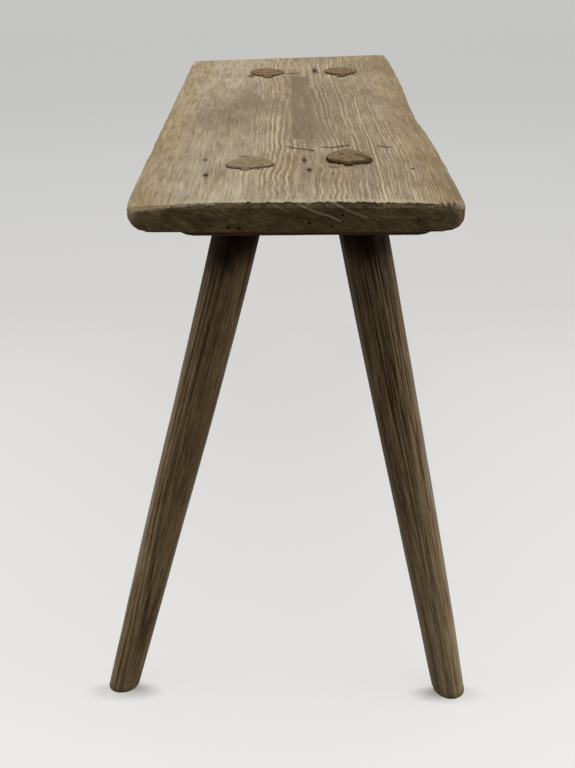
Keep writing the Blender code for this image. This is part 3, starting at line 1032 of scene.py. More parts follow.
# Seat
@dataclass
class SeatPlank:
    """The weather-worn seat plank: raised grain, worn arrises, cracks, worm holes and stains."""

    frame: dict
    finish: Finish
    tenons: Sequence[TenonSpot]
    nails: Sequence[NailSpot]
    column: float = 0.0009
    row: float = 0.0040
    layer: float = 0.0026
    near_layer: float = 0.0009
    under_cell: float = 0.008
    ridge_height: float = 0.00055
    dish_depth: float = 0.0009
    sharp_angle: float = 62.0
    near_end_reach: float = 0.030
    far_end_reach: float = 0.020
    far_corner_reach: float = 0.016
    rim_reach: float = 0.035
    lip_reach: float = 0.018
    wall_inset: tuple[float, float] = (0.012, 0.020)
    wall_drop: float = 0.0006
    tenon_reach: float = 0.006
    scratch_reach: float = 0.0006
    seam_reach: float = 0.0007
    crack_dirt_reach: float = 0.0021
    joint_reach: float = 0.0016
    # How far the wear round a tenon reaches, and where it ends
    sunk_reach: float = 0.013
    sunk_end: float = 0.035
    # How far the stains' borders fray across and along the seat
    fray: tuple[float, float] = (0.0015, 0.004)
    # Darkness of the walls of mortises, holes and cracks: dirt with painted shade in the recess
    wall_dirt_and_shade: float = 0.85
    speck_dirt: float = 0.9
    crack_dirt: float = 0.65
    tenon_line_gap: float = 0.0004
    tenon_line_reach: float = 0.0010
    # Dark tips at a tenon's left and right: their strength, then their reach across and along
    tip_dirt: float = 0.9
    tip_reach: tuple[float, float] = (0.0016, 0.0040)
    bleach_most: float = 0.7
    # Share of a normal along an axis at which a face starts, and at which it fully counts, as facing it
    facing: tuple[float, float] = (0.25, 0.9)
    # For the left and the right near corner, then across and along the seat
    corner_depths: tuple[float, float] = (0.0042, 0.0024)
    corner_reach: tuple[float, float] = (0.050, 0.026)
    # For the left and the right near corner
    pale_corner_reach: tuple[float, float] = (0.021, 0.014)
    honey_reach: tuple[float, float] = (0.002, 0.050)
    lip_place: float = -0.0052
    lip_waves: tuple[float, float] = (0.0026, 0.0036)
    # How much further down the lip lies on the left and at both corners, and how far in the corners reach
    lip_left_drop: float = 0.0032
    lip_corner_drop: float = 0.0080
    lip_corner_reach: float = 0.018
    lip_shadow_drop: float = 0.0024
    lip_shadow_reach: float = 0.0021
    lip_shadow_end: float = 0.014
    arris_depth: float = 0.0010
    weather_depth: float = 0.00012
    ragged_depth: float = 0.0008
    bite_depth: float = 0.0030
    fibre_depth: float = 0.00020
    saw_run: tuple[float, float] = (0.50, 0.87)
    saw_depth: float = 0.00026
    dent_depth: float = 0.0008
    undercut_depth: float = 0.0010
    undercut_drop: float = 0.0062
    undercut_reach: float = 0.0014
    scratch_depth: float = 0.0003
    stripe_across: Span = (-0.003, 0.001, 0.0215, 0.0255)
    stripe_along: Span = (-0.146, -0.138, 0.19, 0.225)
    side_across: Span = (0.020, 0.026, 0.034, 0.055)
    side_along: Span = (-0.150, -0.130, 0.02, 0.16)
    grey_patch: Patch = Patch(-0.060, 0.02, 0.030, 0.11)
    outer_patch: Patch = Patch(-0.095, -0.03, 0.025, 0.13)
    worn_patch: Patch = Patch(0.040, -0.04, 0.075, 0.19)
    unbleached: Patch = Patch(-0.070, -0.02, 0.040, 0.12)
    bleached_near: Patch = Patch(0.0, -0.33, 0.060, 0.070)
    bleached_right: Patch = Patch(0.080, 0.26, 0.050, 0.10)
    cracks: Sequence[Crack] = (
        Crack(
            ((-0.006, -0.173), (-0.001, -0.178), (0.005, -0.180), (0.011, -0.183), (0.020, -0.188)), 0.0012,
        ),
        Crack(((0.030, -0.174), (0.037, -0.177), (0.043, -0.175), (0.049, -0.171), (0.057, -0.167)), 0.0012),
        Crack(((0.088, -0.171), (0.092, -0.175), (0.096, -0.177), (0.100, -0.175))),
        Crack(((-0.0075, 0.234), (-0.003, 0.233), (0.003, 0.2325), (0.010, 0.2345)), 0.0032, 0.006),
        Crack(((0.034, -0.246), (0.038, -0.248), (0.042, -0.247)), 0.0008),
    )
    # Places across and up the near end, and across and along the top
    end_holes: Line = (
        (0.0406, 0.4893), (0.0113, 0.4822), (0.0313, 0.4785), (-0.0589, 0.4785), (-0.0490, 0.4774),
        (0.1063, 0.4847),
    )
    top_holes: Line = (
        (0.0490, -0.2745), (0.0360, -0.2710), (-0.0607, -0.0573), (-0.1240, -0.2090), (0.0800, 0.1200),
    )
    seams: Sequence[Line] = (
        ((0.0210, -0.140), (0.0225, -0.058), (0.0250, 0.079), (0.0259, 0.178)),
        ((-0.0025, -0.140), (-0.0005, -0.006), (0.0025, 0.143), (0.0041, 0.178)),
        ((0.0365, 0.079), (0.0370, 0.021), (0.0335, -0.058), (0.0337, -0.106)),
        ((0.0120, -0.366), (0.0125, -0.352), (0.0122, -0.340)),
    )
    # Strength of each scratch, and its line across and up the near end
    scratches: Sequence[tuple[float, Line]] = (
        (0.95, ((0.001, 0.4994), (0.018, 0.4915), (0.0295, 0.4880), (0.0385, 0.4835))),
        (0.75, ((0.033, 0.4996), (0.048, 0.4918), (0.0620, 0.4865))),
        (0.30, ((-0.019, 0.4983), (-0.006, 0.4915))),
        (0.35, ((0.074, 0.4880), (0.088, 0.4872), (0.102, 0.4874))),
    )
    # Place of each dark speck, its reach, and how far it is drawn out along the seat
    specks: Sequence[tuple[float, float, float, float]] = (
        (0.1260, -0.3610, 0.0014, 4.5), (0.1320, -0.3625, 0.0020, 4.0), (0.1368, -0.3600, 0.0014, 4.5),
        (-0.0564, 0.2140, 0.0050, 2.4), (-0.0505, -0.2093, 0.0050, 0.45),
    )

    def __post_init__(self) -> None:
        """Read the plank's box and set up its growth rings."""
        low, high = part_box("seat_plank")
        self.low = Vector(low)
        self.high = Vector(high)
        self.rings = GrowthRings(top=self.high.z)
        points = [vert.co for vert in self.frame["nodes"]["seat_plank"].data.vertices]
        left_rim = [point for point in points if point.x < self.low.x + self.far_corner_reach]
        corner = max(left_rim, key=lambda point: point.y)
        self.far_slope = (self.high.y - corner.y) / (self.high.x - corner.x)
        tenon_nodes = [name for name in self.frame["nodes"] if name.startswith(("leg_", "wedge_"))]
        self.joint = Joint(self.frame, tenon_nodes)

    def from_far_end(self, place: Vector) -> float:
        """Distance of a place from the far end, which was sawn askew."""
        return self.high.y - (self.high.x - place.x) * self.far_slope - place.y

    def from_side(self, place: Vector) -> float:
        """Distance of a place from the nearer long side of the plank's box."""
        return min(place.x - self.low.x, self.high.x - place.x)

    def height_share(self, place: Vector) -> float:
        """Height of a place in the plank, from 0 at its underside to 1 at its top."""
        return (place.z - self.low.z) / (self.high.z - self.low.z)

    def worm_holes(self) -> list[WormHole]:
        """Beetle holes in the near end and on the top.

        Returns:
            The holes.
        """
        holes = [WormHole((x, self.low.y, z), (0.0, 1.0, 0.0)) for x, z in self.end_holes]
        holes += [WormHole((x, y, self.high.z), (0.0, 0.0, -1.0)) for x, y in self.top_holes]
        return holes

    def build(self) -> Piece:
        """Slice, carve and wear the plank.

        Returns:
            The scene object.
        """
        piece = WorkPiece(self.frame, "seat_plank")
        cutters = [crack.cutter(self.high.z) for crack in self.cracks]
        cutters += [hole.cutter() for hole in self.worm_holes()]
        piece.carve(cutters)
        low, high = self.low, self.high
        piece.grid(ACROSS, low.x, high.x, self.column, self.is_seen)
        piece.grid(ALONG, low.y, high.y, self.row, self.is_seen)
        piece.grid(UP, low.z, high.z, self.layer, self.is_outer)
        piece.grid(UP, low.z, high.z, self.near_layer, self.is_near_end)
        piece.grid(ALONG, low.y, low.y + self.lip_reach, self.near_layer, self.is_seen)
        piece.grid(ACROSS, low.x, high.x, self.under_cell, self.is_under)
        piece.grid(ALONG, low.y, high.y, self.under_cell, self.is_under)
        piece.mark(Mark.RING, lambda place, normal: self.rings.count(place))
        piece.mark(Mark.LINE, lambda place, normal: self.line(place))
        piece.mark(Mark.PALE, self.lip)
        piece.mark(Mark.BLEACH_AND_SHEEN, self.bleach)
        piece.mark(Mark.END, self.sawn_end)
        piece.mark(Mark.STAIN, self.stain)
        piece.mark(Mark.HONEY, self.honey)
        piece.mark(Mark.SCRATCH, self.scratch)
        piece.mark(Mark.DIRT_AND_SHADE, self.dirt_and_shade)
        piece.wear(self.wear)
        return piece.finish("seat_plank_worn", self.finish, "seat_wood", self.sharp_angle)

    def is_seen(self, face: Face) -> bool:
        """Whether a face is part of the top or of an end.

        Args:
            face: The face.

        Returns:
            True on the top, its arrises and both ends.
        """
        middle = face.calc_center_median()
        on_end = middle.y < self.low.y + self.near_end_reach
        on_end = on_end or self.from_far_end(middle) < self.far_end_reach
        return face.normal.z > TOP_FACING or (abs(face.normal.y) > END_FACING and on_end)

    def is_near_end(self, face: Face) -> bool:
        """Whether a face is part of the near end."""
        at_end = face.calc_center_median().y < self.low.y + self.near_end_reach
        return face.normal.y < -END_FACING and at_end

    def is_outer(self, face: Face) -> bool:
        """Whether a face is part of the plank's outer rim.

        Args:
            face: The face.

        Returns:
            True on the long edges and ends.
        """
        middle = face.calc_center_median()
        on_rim = self.from_side(middle) < self.rim_reach or self.from_far_end(middle) < self.far_end_reach
        return on_rim and abs(face.normal.z) < 0.93

    def is_under(self, face: Face) -> bool:
        """Whether a face looks down."""
        return face.normal.z < -END_FACING

    def inner_wall(self, place: Vector) -> bool:
        """Whether a place is on the wall of a mortise, a nail hole or a crack.

        Args:
            place: The place.

        Returns:
            True well inside the plank's outline and below its top.
        """
        inside = self.from_side(place) > self.wall_inset[0]
        inside = inside and min(place.y - self.low.y, self.from_far_end(place)) > self.wall_inset[1]
        return inside and self.low.z + self.wall_drop < place.z < self.high.z - self.wall_drop

    def sawn_end(self, place: Vector, normal: Vector) -> float:
        """Where the sawn ends begin, past a frayed border on the arris.

        Args:
            place: A place on the plank.
            normal: Its outward direction.

        Returns:
            From 0 on the long faces to 1 on an end.
        """
        if normal.y > 0.0:
            return smoothstep(0.46, 0.74, normal.y)
        reach = self.pale_corner_reach[0 if place.x < 0.0 else 1]
        pale = 0.9 * lobe(max(self.from_side(place), 0.0), reach)
        pale *= smoothstep(0.10, 0.75, self.height_share(place))
        pale *= 0.75 + 0.5 * rough(place.x * 90, place.z * 90, 85.0)
        facing = smoothstep(0.10, 0.45, -normal.y) if normal.z < 0.3 else 1.0
        width = 0.0020 + 0.0030 * smoothstep(0.0, -0.08, place.x)
        share = smoothstep(0.0, width, self.past_lip(place)) * facing
        return share * min(max(1.0 - pale, 0.0), 1.0)

    def past_lip(self, place: Vector) -> float:
        """How far a place lies past the ragged lip of the near end, counted over its rounded arris.

        Args:
            place: A place on the plank.

        Returns:
            The distance, under zero on the top.
        """
        x = place.x
        side = max(self.from_side(place), 0.0)
        lip = self.lip_place + self.lip_left_drop * smoothstep(-0.06, -0.13, x)
        lip += self.lip_corner_drop * lobe(side, self.lip_corner_reach)
        long_wave, short_wave = self.lip_waves
        lip += long_wave * rough(x * 60, 7.0, 81.0) + short_wave * rough(x * 230, 3.0, 83.0, 2)
        return (self.high.z - place.z) - (place.y - self.low.y) - lip

    def frayed(self, place: Vector) -> tuple[float, float]:
        """A place across and along the seat, shifted a little so that the stains' borders fray.

        Args:
            place: A place on the plank.

        Returns:
            The shifted place.
        """
        x = place.x + self.fray[0] * rough(place.x * 60, place.y * 9, 1.0)
        y = place.y + self.fray[1] * rough(place.x * 40, place.y * 12, 5.0)
        return x, y

    def stripe(self, place: Vector) -> float:
        """The smooth grey-brown stripe along the middle."""
        x, y = self.frayed(place)
        return plateau(x, self.stripe_across) * plateau(y, self.stripe_along)

    def line(self, place: Vector) -> float:
        """How strongly the late wood stands out, fainter in the middle stripe."""
        return self.rings.strength(place, self.rings.count(place)) * (1.0 - 0.9 * self.stripe(place))

    def stain(self, place: Vector, normal: Vector) -> float:
        """Grey-brown stains: the middle stripe, the patch left of it and the dark seams.

        Args:
            place: A place on the plank.
            normal: Its outward direction.

        Returns:
            How dark the stain is, from 0 to 1.
        """
        x, y = self.frayed(place)
        stripe = self.stripe(place) * (0.88 + 0.25 * rough(x * 20, y * 8, 2.0))
        side = plateau(x, self.side_across) * plateau(y, self.side_along) * 0.45
        patch = self.grey_patch.share(x, y) * (0.65 + 0.8 * rough(x * 30, y * 14, 7.0))
        outer = self.outer_patch.share(x, y) * (0.30 + 0.6 * rough(x * 26, y * 11, 27.0))
        smear = max(0.0, 0.15 + rough(x * 9 + 3, y * 6, 13.0, 4)) * 0.8
        smear *= 0.30 + 0.70 * smoothstep(-0.045, 0.0, x)
        smear += 0.32 * self.worn_patch.share(x, y) + 0.42 * smoothstep(0.095, 0.140, x)
        seam = max(lobe(near_polyline(place.x, place.y, line), self.seam_reach) for line in self.seams)
        return min(max(stripe + side + max(patch, 0.0) + max(outer, 0.0) + smear, 0.55 * seam, 0.0), 1.0)

    def honey(self, place: Vector, normal: Vector) -> float:
        """Warm tone along the long edges and in the corners.

        Args:
            place: A place on the plank.
            normal: Its outward direction.

        Returns:
            How warm the tone is, from 0 to 1.
        """
        rim = self.from_side(place) + 0.014 * rough(place.x * 18, place.y * 9, 3.0)
        tone = 0.85 * (1.0 - smoothstep(*self.honey_reach, rim)) * (1.40 if place.x > 0.0 else 0.85)
        tone += 0.6 * max(0.0, rough(place.x * 13, place.y * 6, 21.0))
        return min(max(tone, 0.0), 1.0)

    def lip(self, place: Vector, normal: Vector) -> float:
        """Pale frayed lip along the near arris.

        Args:
            place: A place on the plank.
            normal: Its outward direction.

        Returns:
            How pale the lip is, from 0 to 1.
        """
        back = place.y - self.low.y
        if back > self.lip_reach or normal.z < 0.45:
            return 0.0
        fray = 0.55 + 0.8 * rough(place.x * 70, place.y * 60, 41.0)
        span = smoothstep(-0.125, -0.030, place.x) * (1.0 - 0.6 * smoothstep(0.09, 0.13, place.x))
        return 0.60 * min(max(fray, 0.0), 1.0) * (0.2 + 0.8 * span) * (1.0 - smoothstep(0.008, 0.017, back))

    def bleach(self, place: Vector, normal: Vector) -> float:
        """Bleached grey on the left of the top.

        Args:
            place: A place on the plank.
            normal: Its outward direction.

        Returns:
            How pale the patch is, from 0 to 1.
        """
        if normal.z < TOP_FACING:
            return 0.0
        x, y, _ = place
        left = smoothstep(-0.005, -0.060, x) * (0.30 + 0.40 * rough(x * 45, y * 16, 61.0, 4))
        left *= 1.0 - 0.8 * self.unbleached.share(x, y)
        left += 0.14 * self.bleached_near.share(x, y) + 0.12 * self.bleached_right.share(x, y)
        return min(max(left, 0.0), self.bleach_most)

    def corner_drop(self, place: Vector) -> float:
        """How far the worn near corners have sunk.

        Args:
            place: A place on the plank.

        Returns:
            The drop at the top face.
        """
        depth = self.corner_depths[0 if place.x < 0.0 else 1]
        depth *= lobe(max(self.from_side(place), 0.0), self.corner_reach[0])
        return depth * lobe(place.y - self.low.y, self.corner_reach[1])

    def scratch(self, place: Vector, normal: Vector) -> float:
        """Pale scratches across the near end.

        Args:
            place: A place on the plank.
            normal: Its outward direction.

        Returns:
            How pale the scratch is, from 0 to 1.
        """
        if normal.y > -END_FACING:
            return 0.0
        return max(
            share * lobe(near_polyline(place.x, place.z, line), self.scratch_reach)
            for share, line in self.scratches
        )

    def dirt_and_shade(self, place: Vector, normal: Vector) -> float:
        """Dark dirt round the nails, in specks, by cracks and along the tenons; dirt with painted shade on the
        walls of holes, cracks and mortises; and a painted shadow under the near lip.

        Args:
            place: A place on the plank.
            normal: Its outward direction.

        Returns:
            How dark the dirt and painted shade are, from 0 to 1.
        """
        # Walls of mortises, holes and cracks: dirt with painted shade in the recess
        if self.inner_wall(place):
            return self.wall_dirt_and_shade
        shadow = self.lip_shadow(place)
        if normal.z < TOP_FACING:
            return shadow
        x, y, _ = place
        amount = max(spot.stain(x, y) for spot in self.nails)
        for speck_x, speck_y, reach, drawn in self.specks:
            speck = lobe(math.hypot(x - speck_x, (y - speck_y) / drawn), reach)
            amount = max(amount, self.speck_dirt * speck)
        for crack in self.cracks:
            near_crack = lobe(near_polyline(x, y, crack.points), self.crack_dirt_reach)
            amount = max(amount, self.crack_dirt * near_crack)
        for spot in self.tenons:
            nearer = smoothstep(-0.4, 0.6, -spot.shares(x, y)[1])
            depth = 0.35 + 0.30 * nearer if spot.y < 0.0 else 0.26 + 0.16 * nearer
            line = depth * (0.75 + 1.3 * rough(x * 160, y * 90, 91.0, 2))
            gap = max(spot.outside(x, y) - self.tenon_line_gap, 0.0)
            amount = max(amount, line * lobe(gap, self.tenon_line_reach))
            reach = abs(x - spot.x) - spot.half_x
            tip = self.tip_dirt * lobe(max(reach, 0.0), self.tip_reach[0])
            tip *= lobe(y - spot.y + spot.belly, self.tip_reach[1])
            amount = max(amount, tip if reach > -0.001 else 0.0)
        amount = max(amount, shadow)
        return min(max(amount, 0.0), 1.0)

    def lip_shadow(self, place: Vector) -> float:
        """Dark broken line under the frayed lip of the near end.

        Args:
            place: A place on the plank.

        Returns:
            How dark the line is, from 0 to 1.
        """
        if place.y > self.low.y + self.lip_shadow_end:
            return 0.0
        line = lobe(self.past_lip(place) - self.lip_shadow_drop, self.lip_shadow_reach)
        span = smoothstep(-0.140, -0.020, place.x) * (1.0 - 0.5 * smoothstep(0.09, 0.13, place.x))
        breaks = max(0.0, 0.65 + 1.1 * rough(place.x * 110, place.z * 50, 95.0))
        return min(0.95 * line * (0.15 + 0.85 * span) * breaks, 0.9)

    def wear(self, place: Vector, normal: Vector) -> Vector:
        """How far weather and use have worn a place away.

        Args:
            place: A place on the plank.
            normal: Its outward direction.

        Returns:
            The shift, inwards.
        """
        if self.inner_wall(place):
            return Vector()
        x, y, z = place
        sideward, endward, upward = (
            smoothstep(*self.facing, share) for share in (abs(normal.x), abs(normal.y), normal.z)
        )
        inset = 0.0
        shift = Vector()
        if upward > 0.0:
            inset += upward * self.top_wear(place)
            dish = (1.0 - (x / self.high.x) ** 2) * (1.0 - (y / self.high.y) ** 2)
            shift.z -= upward * self.dish_depth * max(dish, 0.0) ** 0.7
            shift.z -= upward * sum(self.joint_wear(spot, x, y) for spot in self.tenons)
        if sideward > 0.0:
            inset += sideward * self.side_wear(place)
        if endward > 0.0:
            inset += endward * self.end_wear(place, normal)
        corner = max(0.0, 1.0 - max(abs(normal.x), abs(normal.y), abs(normal.z))) * 2.4
        inset += corner * self.arris_depth * max(0.0, 0.45 + rough(x * 48, y * 30, z * 60))
        height = self.height_share(place)
        shift.z -= self.corner_drop(place) * height * height
        shift -= normal * inset
        if upward > 0.0 and any(abs(spot.outside(x, y)) < self.tenon_reach for spot in self.tenons):
            share = 0.55 + 0.35 * rough(x * 90, y * 60, 93.0, 2)
            shift += self.joint.closing(place + shift, share, self.joint_reach)
        return shift

    def top_wear(self, place: Vector) -> float:
        """Wear of the top between the hard ridges of the grain.

        Args:
            place: A place on the top.

        Returns:
            The depth.
        """
        x, y, _ = place
        count = self.rings.count(place)
        soft = 1.0 - self.rings.ridge(count) * self.rings.strength(place, count)
        depth = self.ridge_height * (0.75 + 0.45 * rough(x * 9, y * 4, 31.0))
        return soft * max(depth, 0.0) + self.weather_depth * max(0.0, 1.0 + rough(x * 700, y * 30, 2.0, 2))

    def joint_wear(self, spot: TenonSpot, x: float, y: float) -> float:
        """Wear beside a tenon, whose end grain stands proud of the worn seat.

        Args:
            spot: The tenon.
            x: Place across the seat.
            y: Place along the seat.

        Returns:
            The depth.
        """
        gap = spot.outside(x, y)
        if gap > self.sunk_end:
            return 0.0
        nearer = smoothstep(-0.6 * spot.half_y, 0.5 * spot.half_y, spot.y - y)
        return spot.proud * nearer * lobe(max(gap, 0.0), self.sunk_reach)

    def side_wear(self, place: Vector) -> float:
        """Knocks and frayed fibres along a long edge.

        Args:
            place: A place on the edge.

        Returns:
            The depth.
        """
        x, y, z = place
        edge = math.copysign(2.0, x)
        ragged = max(0.0, 0.2 + rough(y * 26, z * 60, 3.0 + edge)) + (0.6 if x < 0.0 else 0.0)
        bites = max(0.0, rough(y * 12, 6.0 + edge, 0.0, 3) - 0.22)
        fibres = max(0.0, 1.0 + rough(y * 120, z * 160, 1.0))
        return self.ragged_depth * ragged + self.bite_depth * bites + self.fibre_depth * fibres

    def end_wear(self, place: Vector, normal: Vector) -> float:
        """Slanting saw marks, dents and scratches on an end.

        Args:
            place: A place on the end.
            normal: Its outward direction.

        Returns:
            The depth.
        """
        x, _, z = place
        run_x, run_z = self.saw_run
        saw = rough((x * run_x + z * run_z) * 560, (x * run_z - z * run_x) * 16, 2.0, 3)
        depth = self.saw_depth * (1.0 + saw) + self.dent_depth * max(0.0, rough(x * 22, z * 50, 9.0))
        wander = 0.0016 * rough(x * 45, 5.0, 53.0, 2)
        under_lip = lobe(z - self.high.z + self.undercut_drop + wander, self.undercut_reach)
        under_lip *= smoothstep(-0.03, 0.0, x)
        depth += self.undercut_depth * under_lip * max(0.0, 0.2 + rough(x * 60, z * 40, 51.0))
        return max(0.0, depth + self.scratch_depth * self.scratch(place, normal))


# Legs, tenons and wedges
@dataclass(frozen=True)
class LegAxes:
    """A leg's own axes, read from its node: Z up the leg from the foot, Y along the seat."""

    foot: Vector
    top: Vector
    across: Vector
    along: Vector
    up: Vector

    @classmethod
    def of_leg(cls, frame: dict, node: str) -> LegAxes:
        """Read the axes from the middles of a leg's sole and tenon end.

        Args:
            node: The leg's node.

        Returns:
            The axes.
        """
        points = [vert.co for vert in frame["nodes"][node].data.vertices]
        sole = [point for point in points if point.z < FLOAT_NOISE]
        foot = Vector([(min(p[axis] for p in sole) + max(p[axis] for p in sole)) / 2 for axis in range(3)])
        spot = TenonSpot.of_leg(frame, node)
        top = Vector((spot.x, spot.y, max(point.z for point in points)))
        up = (top - foot).normalized()
        along = (ALONG - up * up.y).normalized()
        return cls(foot, top, along.cross(up), along, up)

    @property
    def length(self) -> float:
        """The leg's length from sole to tenon end."""
        return (self.top - self.foot).length

    def local(self, place: Vector) -> Vector:
        """A place in the leg's own axes."""
        offset = place - self.foot
        return Vector((offset.dot(self.across), offset.dot(self.along), offset.dot(self.up)))


@dataclass(frozen=True)
class SplitGrain:
    """How a leg or batten was split from its log: where the pith lay, and the seed of its own noise."""

    seed: float
    pith_turn: float
    pith_reach: float
    rings_per_metre: float

    def wood_place(self, local: Vector) -> Vector:
        """Turn a place in the leg's axes so that the pith lies along X."""
        return Matrix.Rotation(-math.radians(self.pith_turn), 3, "Z") @ local

    def count(self, local: Vector) -> float:
        """Count of year rings at a place.

        Args:
            local: The place in the leg's axes.

        Returns:
            The count.
        """
        x, y, z = self.wood_place(local)
        reach = math.hypot(x - self.pith_reach - 0.006 * rough(self.seed, z * 2.2, 1.0, 2), y)
        reach += 0.0016 * rough(x * 28, y * 28 + self.seed, z * 5.5, 2)
        years = self.rings_per_metre * reach
        return years + 0.7 * rough(years * 0.4, self.seed, 3.0, 2)

    def strength(self, count: float) -> float:
        """How dark a ring's late wood is."""
        return 0.35 + 0.65 * (0.5 + 0.5 * noise.cell(Vector((math.floor(count) + 0.5, self.seed, 1.5))))


@dataclass(frozen=True)
class LegStyle:
    """What differs from leg to leg: grain, bow, wood, and how proud and grimy its tenon is."""

    grain: SplitGrain
    bow: float
    bow_share: float
    bow_reach: float
    proud: float
    grime: float
    # Strength of the painted shade on the side that faces the other leg
    inner_shade: float
    wood: DarkWood
    shakes: Sequence[Line] = ()


FAR_END_MARKS = Layer(300.0, 5.0, 0.72, (0.90, 0.32, 0.5))
LEG_STYLES = {
    "near_left": LegStyle(
        grain=SplitGrain(1.7, -70.0, 0.050, 210.0), bow=0.0037, bow_share=0.80, bow_reach=0.45,
        proud=0.0006, grime=0.25, inner_shade=0.20,
        wood=DarkWood(
            "leg_wood_near_left", body=(0.188, 0.126, 0.060), end=(0.270, 0.208, 0.126),
            end_late=(0.120, 0.082, 0.044), line_share=0.40, low_paling=0.10,
        ),
    ),
    "near_right": LegStyle(
        grain=SplitGrain(5.3, 12.0, -0.060, 400.0), bow=0.0008, bow_share=0.24, bow_reach=0.26,
        proud=0.0016, grime=0.92, inner_shade=0.40,
        wood=DarkWood(
            "leg_wood_near_right", body=(0.150, 0.096, 0.042), end=(0.225, 0.160, 0.086),
            end_late=(0.060, 0.038, 0.018), line_share=0.80, low_paling=0.60,
        ),
        shakes=(((0.0505, -0.2048), (0.0606, -0.2038), (0.0693, -0.2124), (0.0757, -0.2235)),),
    ),
    "far_left": LegStyle(
        grain=SplitGrain(9.1, 50.0, 0.030, 240.0), bow=-0.0010, bow_share=0.5, bow_reach=0.26,
        proud=0.0012, grime=0.25, inner_shade=0.35,
        wood=DarkWood(
            "leg_wood_far_left", end=(0.226, 0.154, 0.080), end_late=(0.048, 0.027, 0.011),
            line_share=0.50, end_marks=FAR_END_MARKS,
        ),
    ),
    "far_right": LegStyle(
        grain=SplitGrain(14.6, 110.0, 0.040, 240.0), bow=0.0010, bow_share=0.5, bow_reach=0.26,
        proud=0.0012, grime=0.45, inner_shade=0.35,
        wood=DarkWood(
            "leg_wood_far_right", end=(0.222, 0.153, 0.083), end_late=(0.048, 0.028, 0.012),
            line_share=0.50, end_marks=FAR_END_MARKS,
        ),
    ),
}


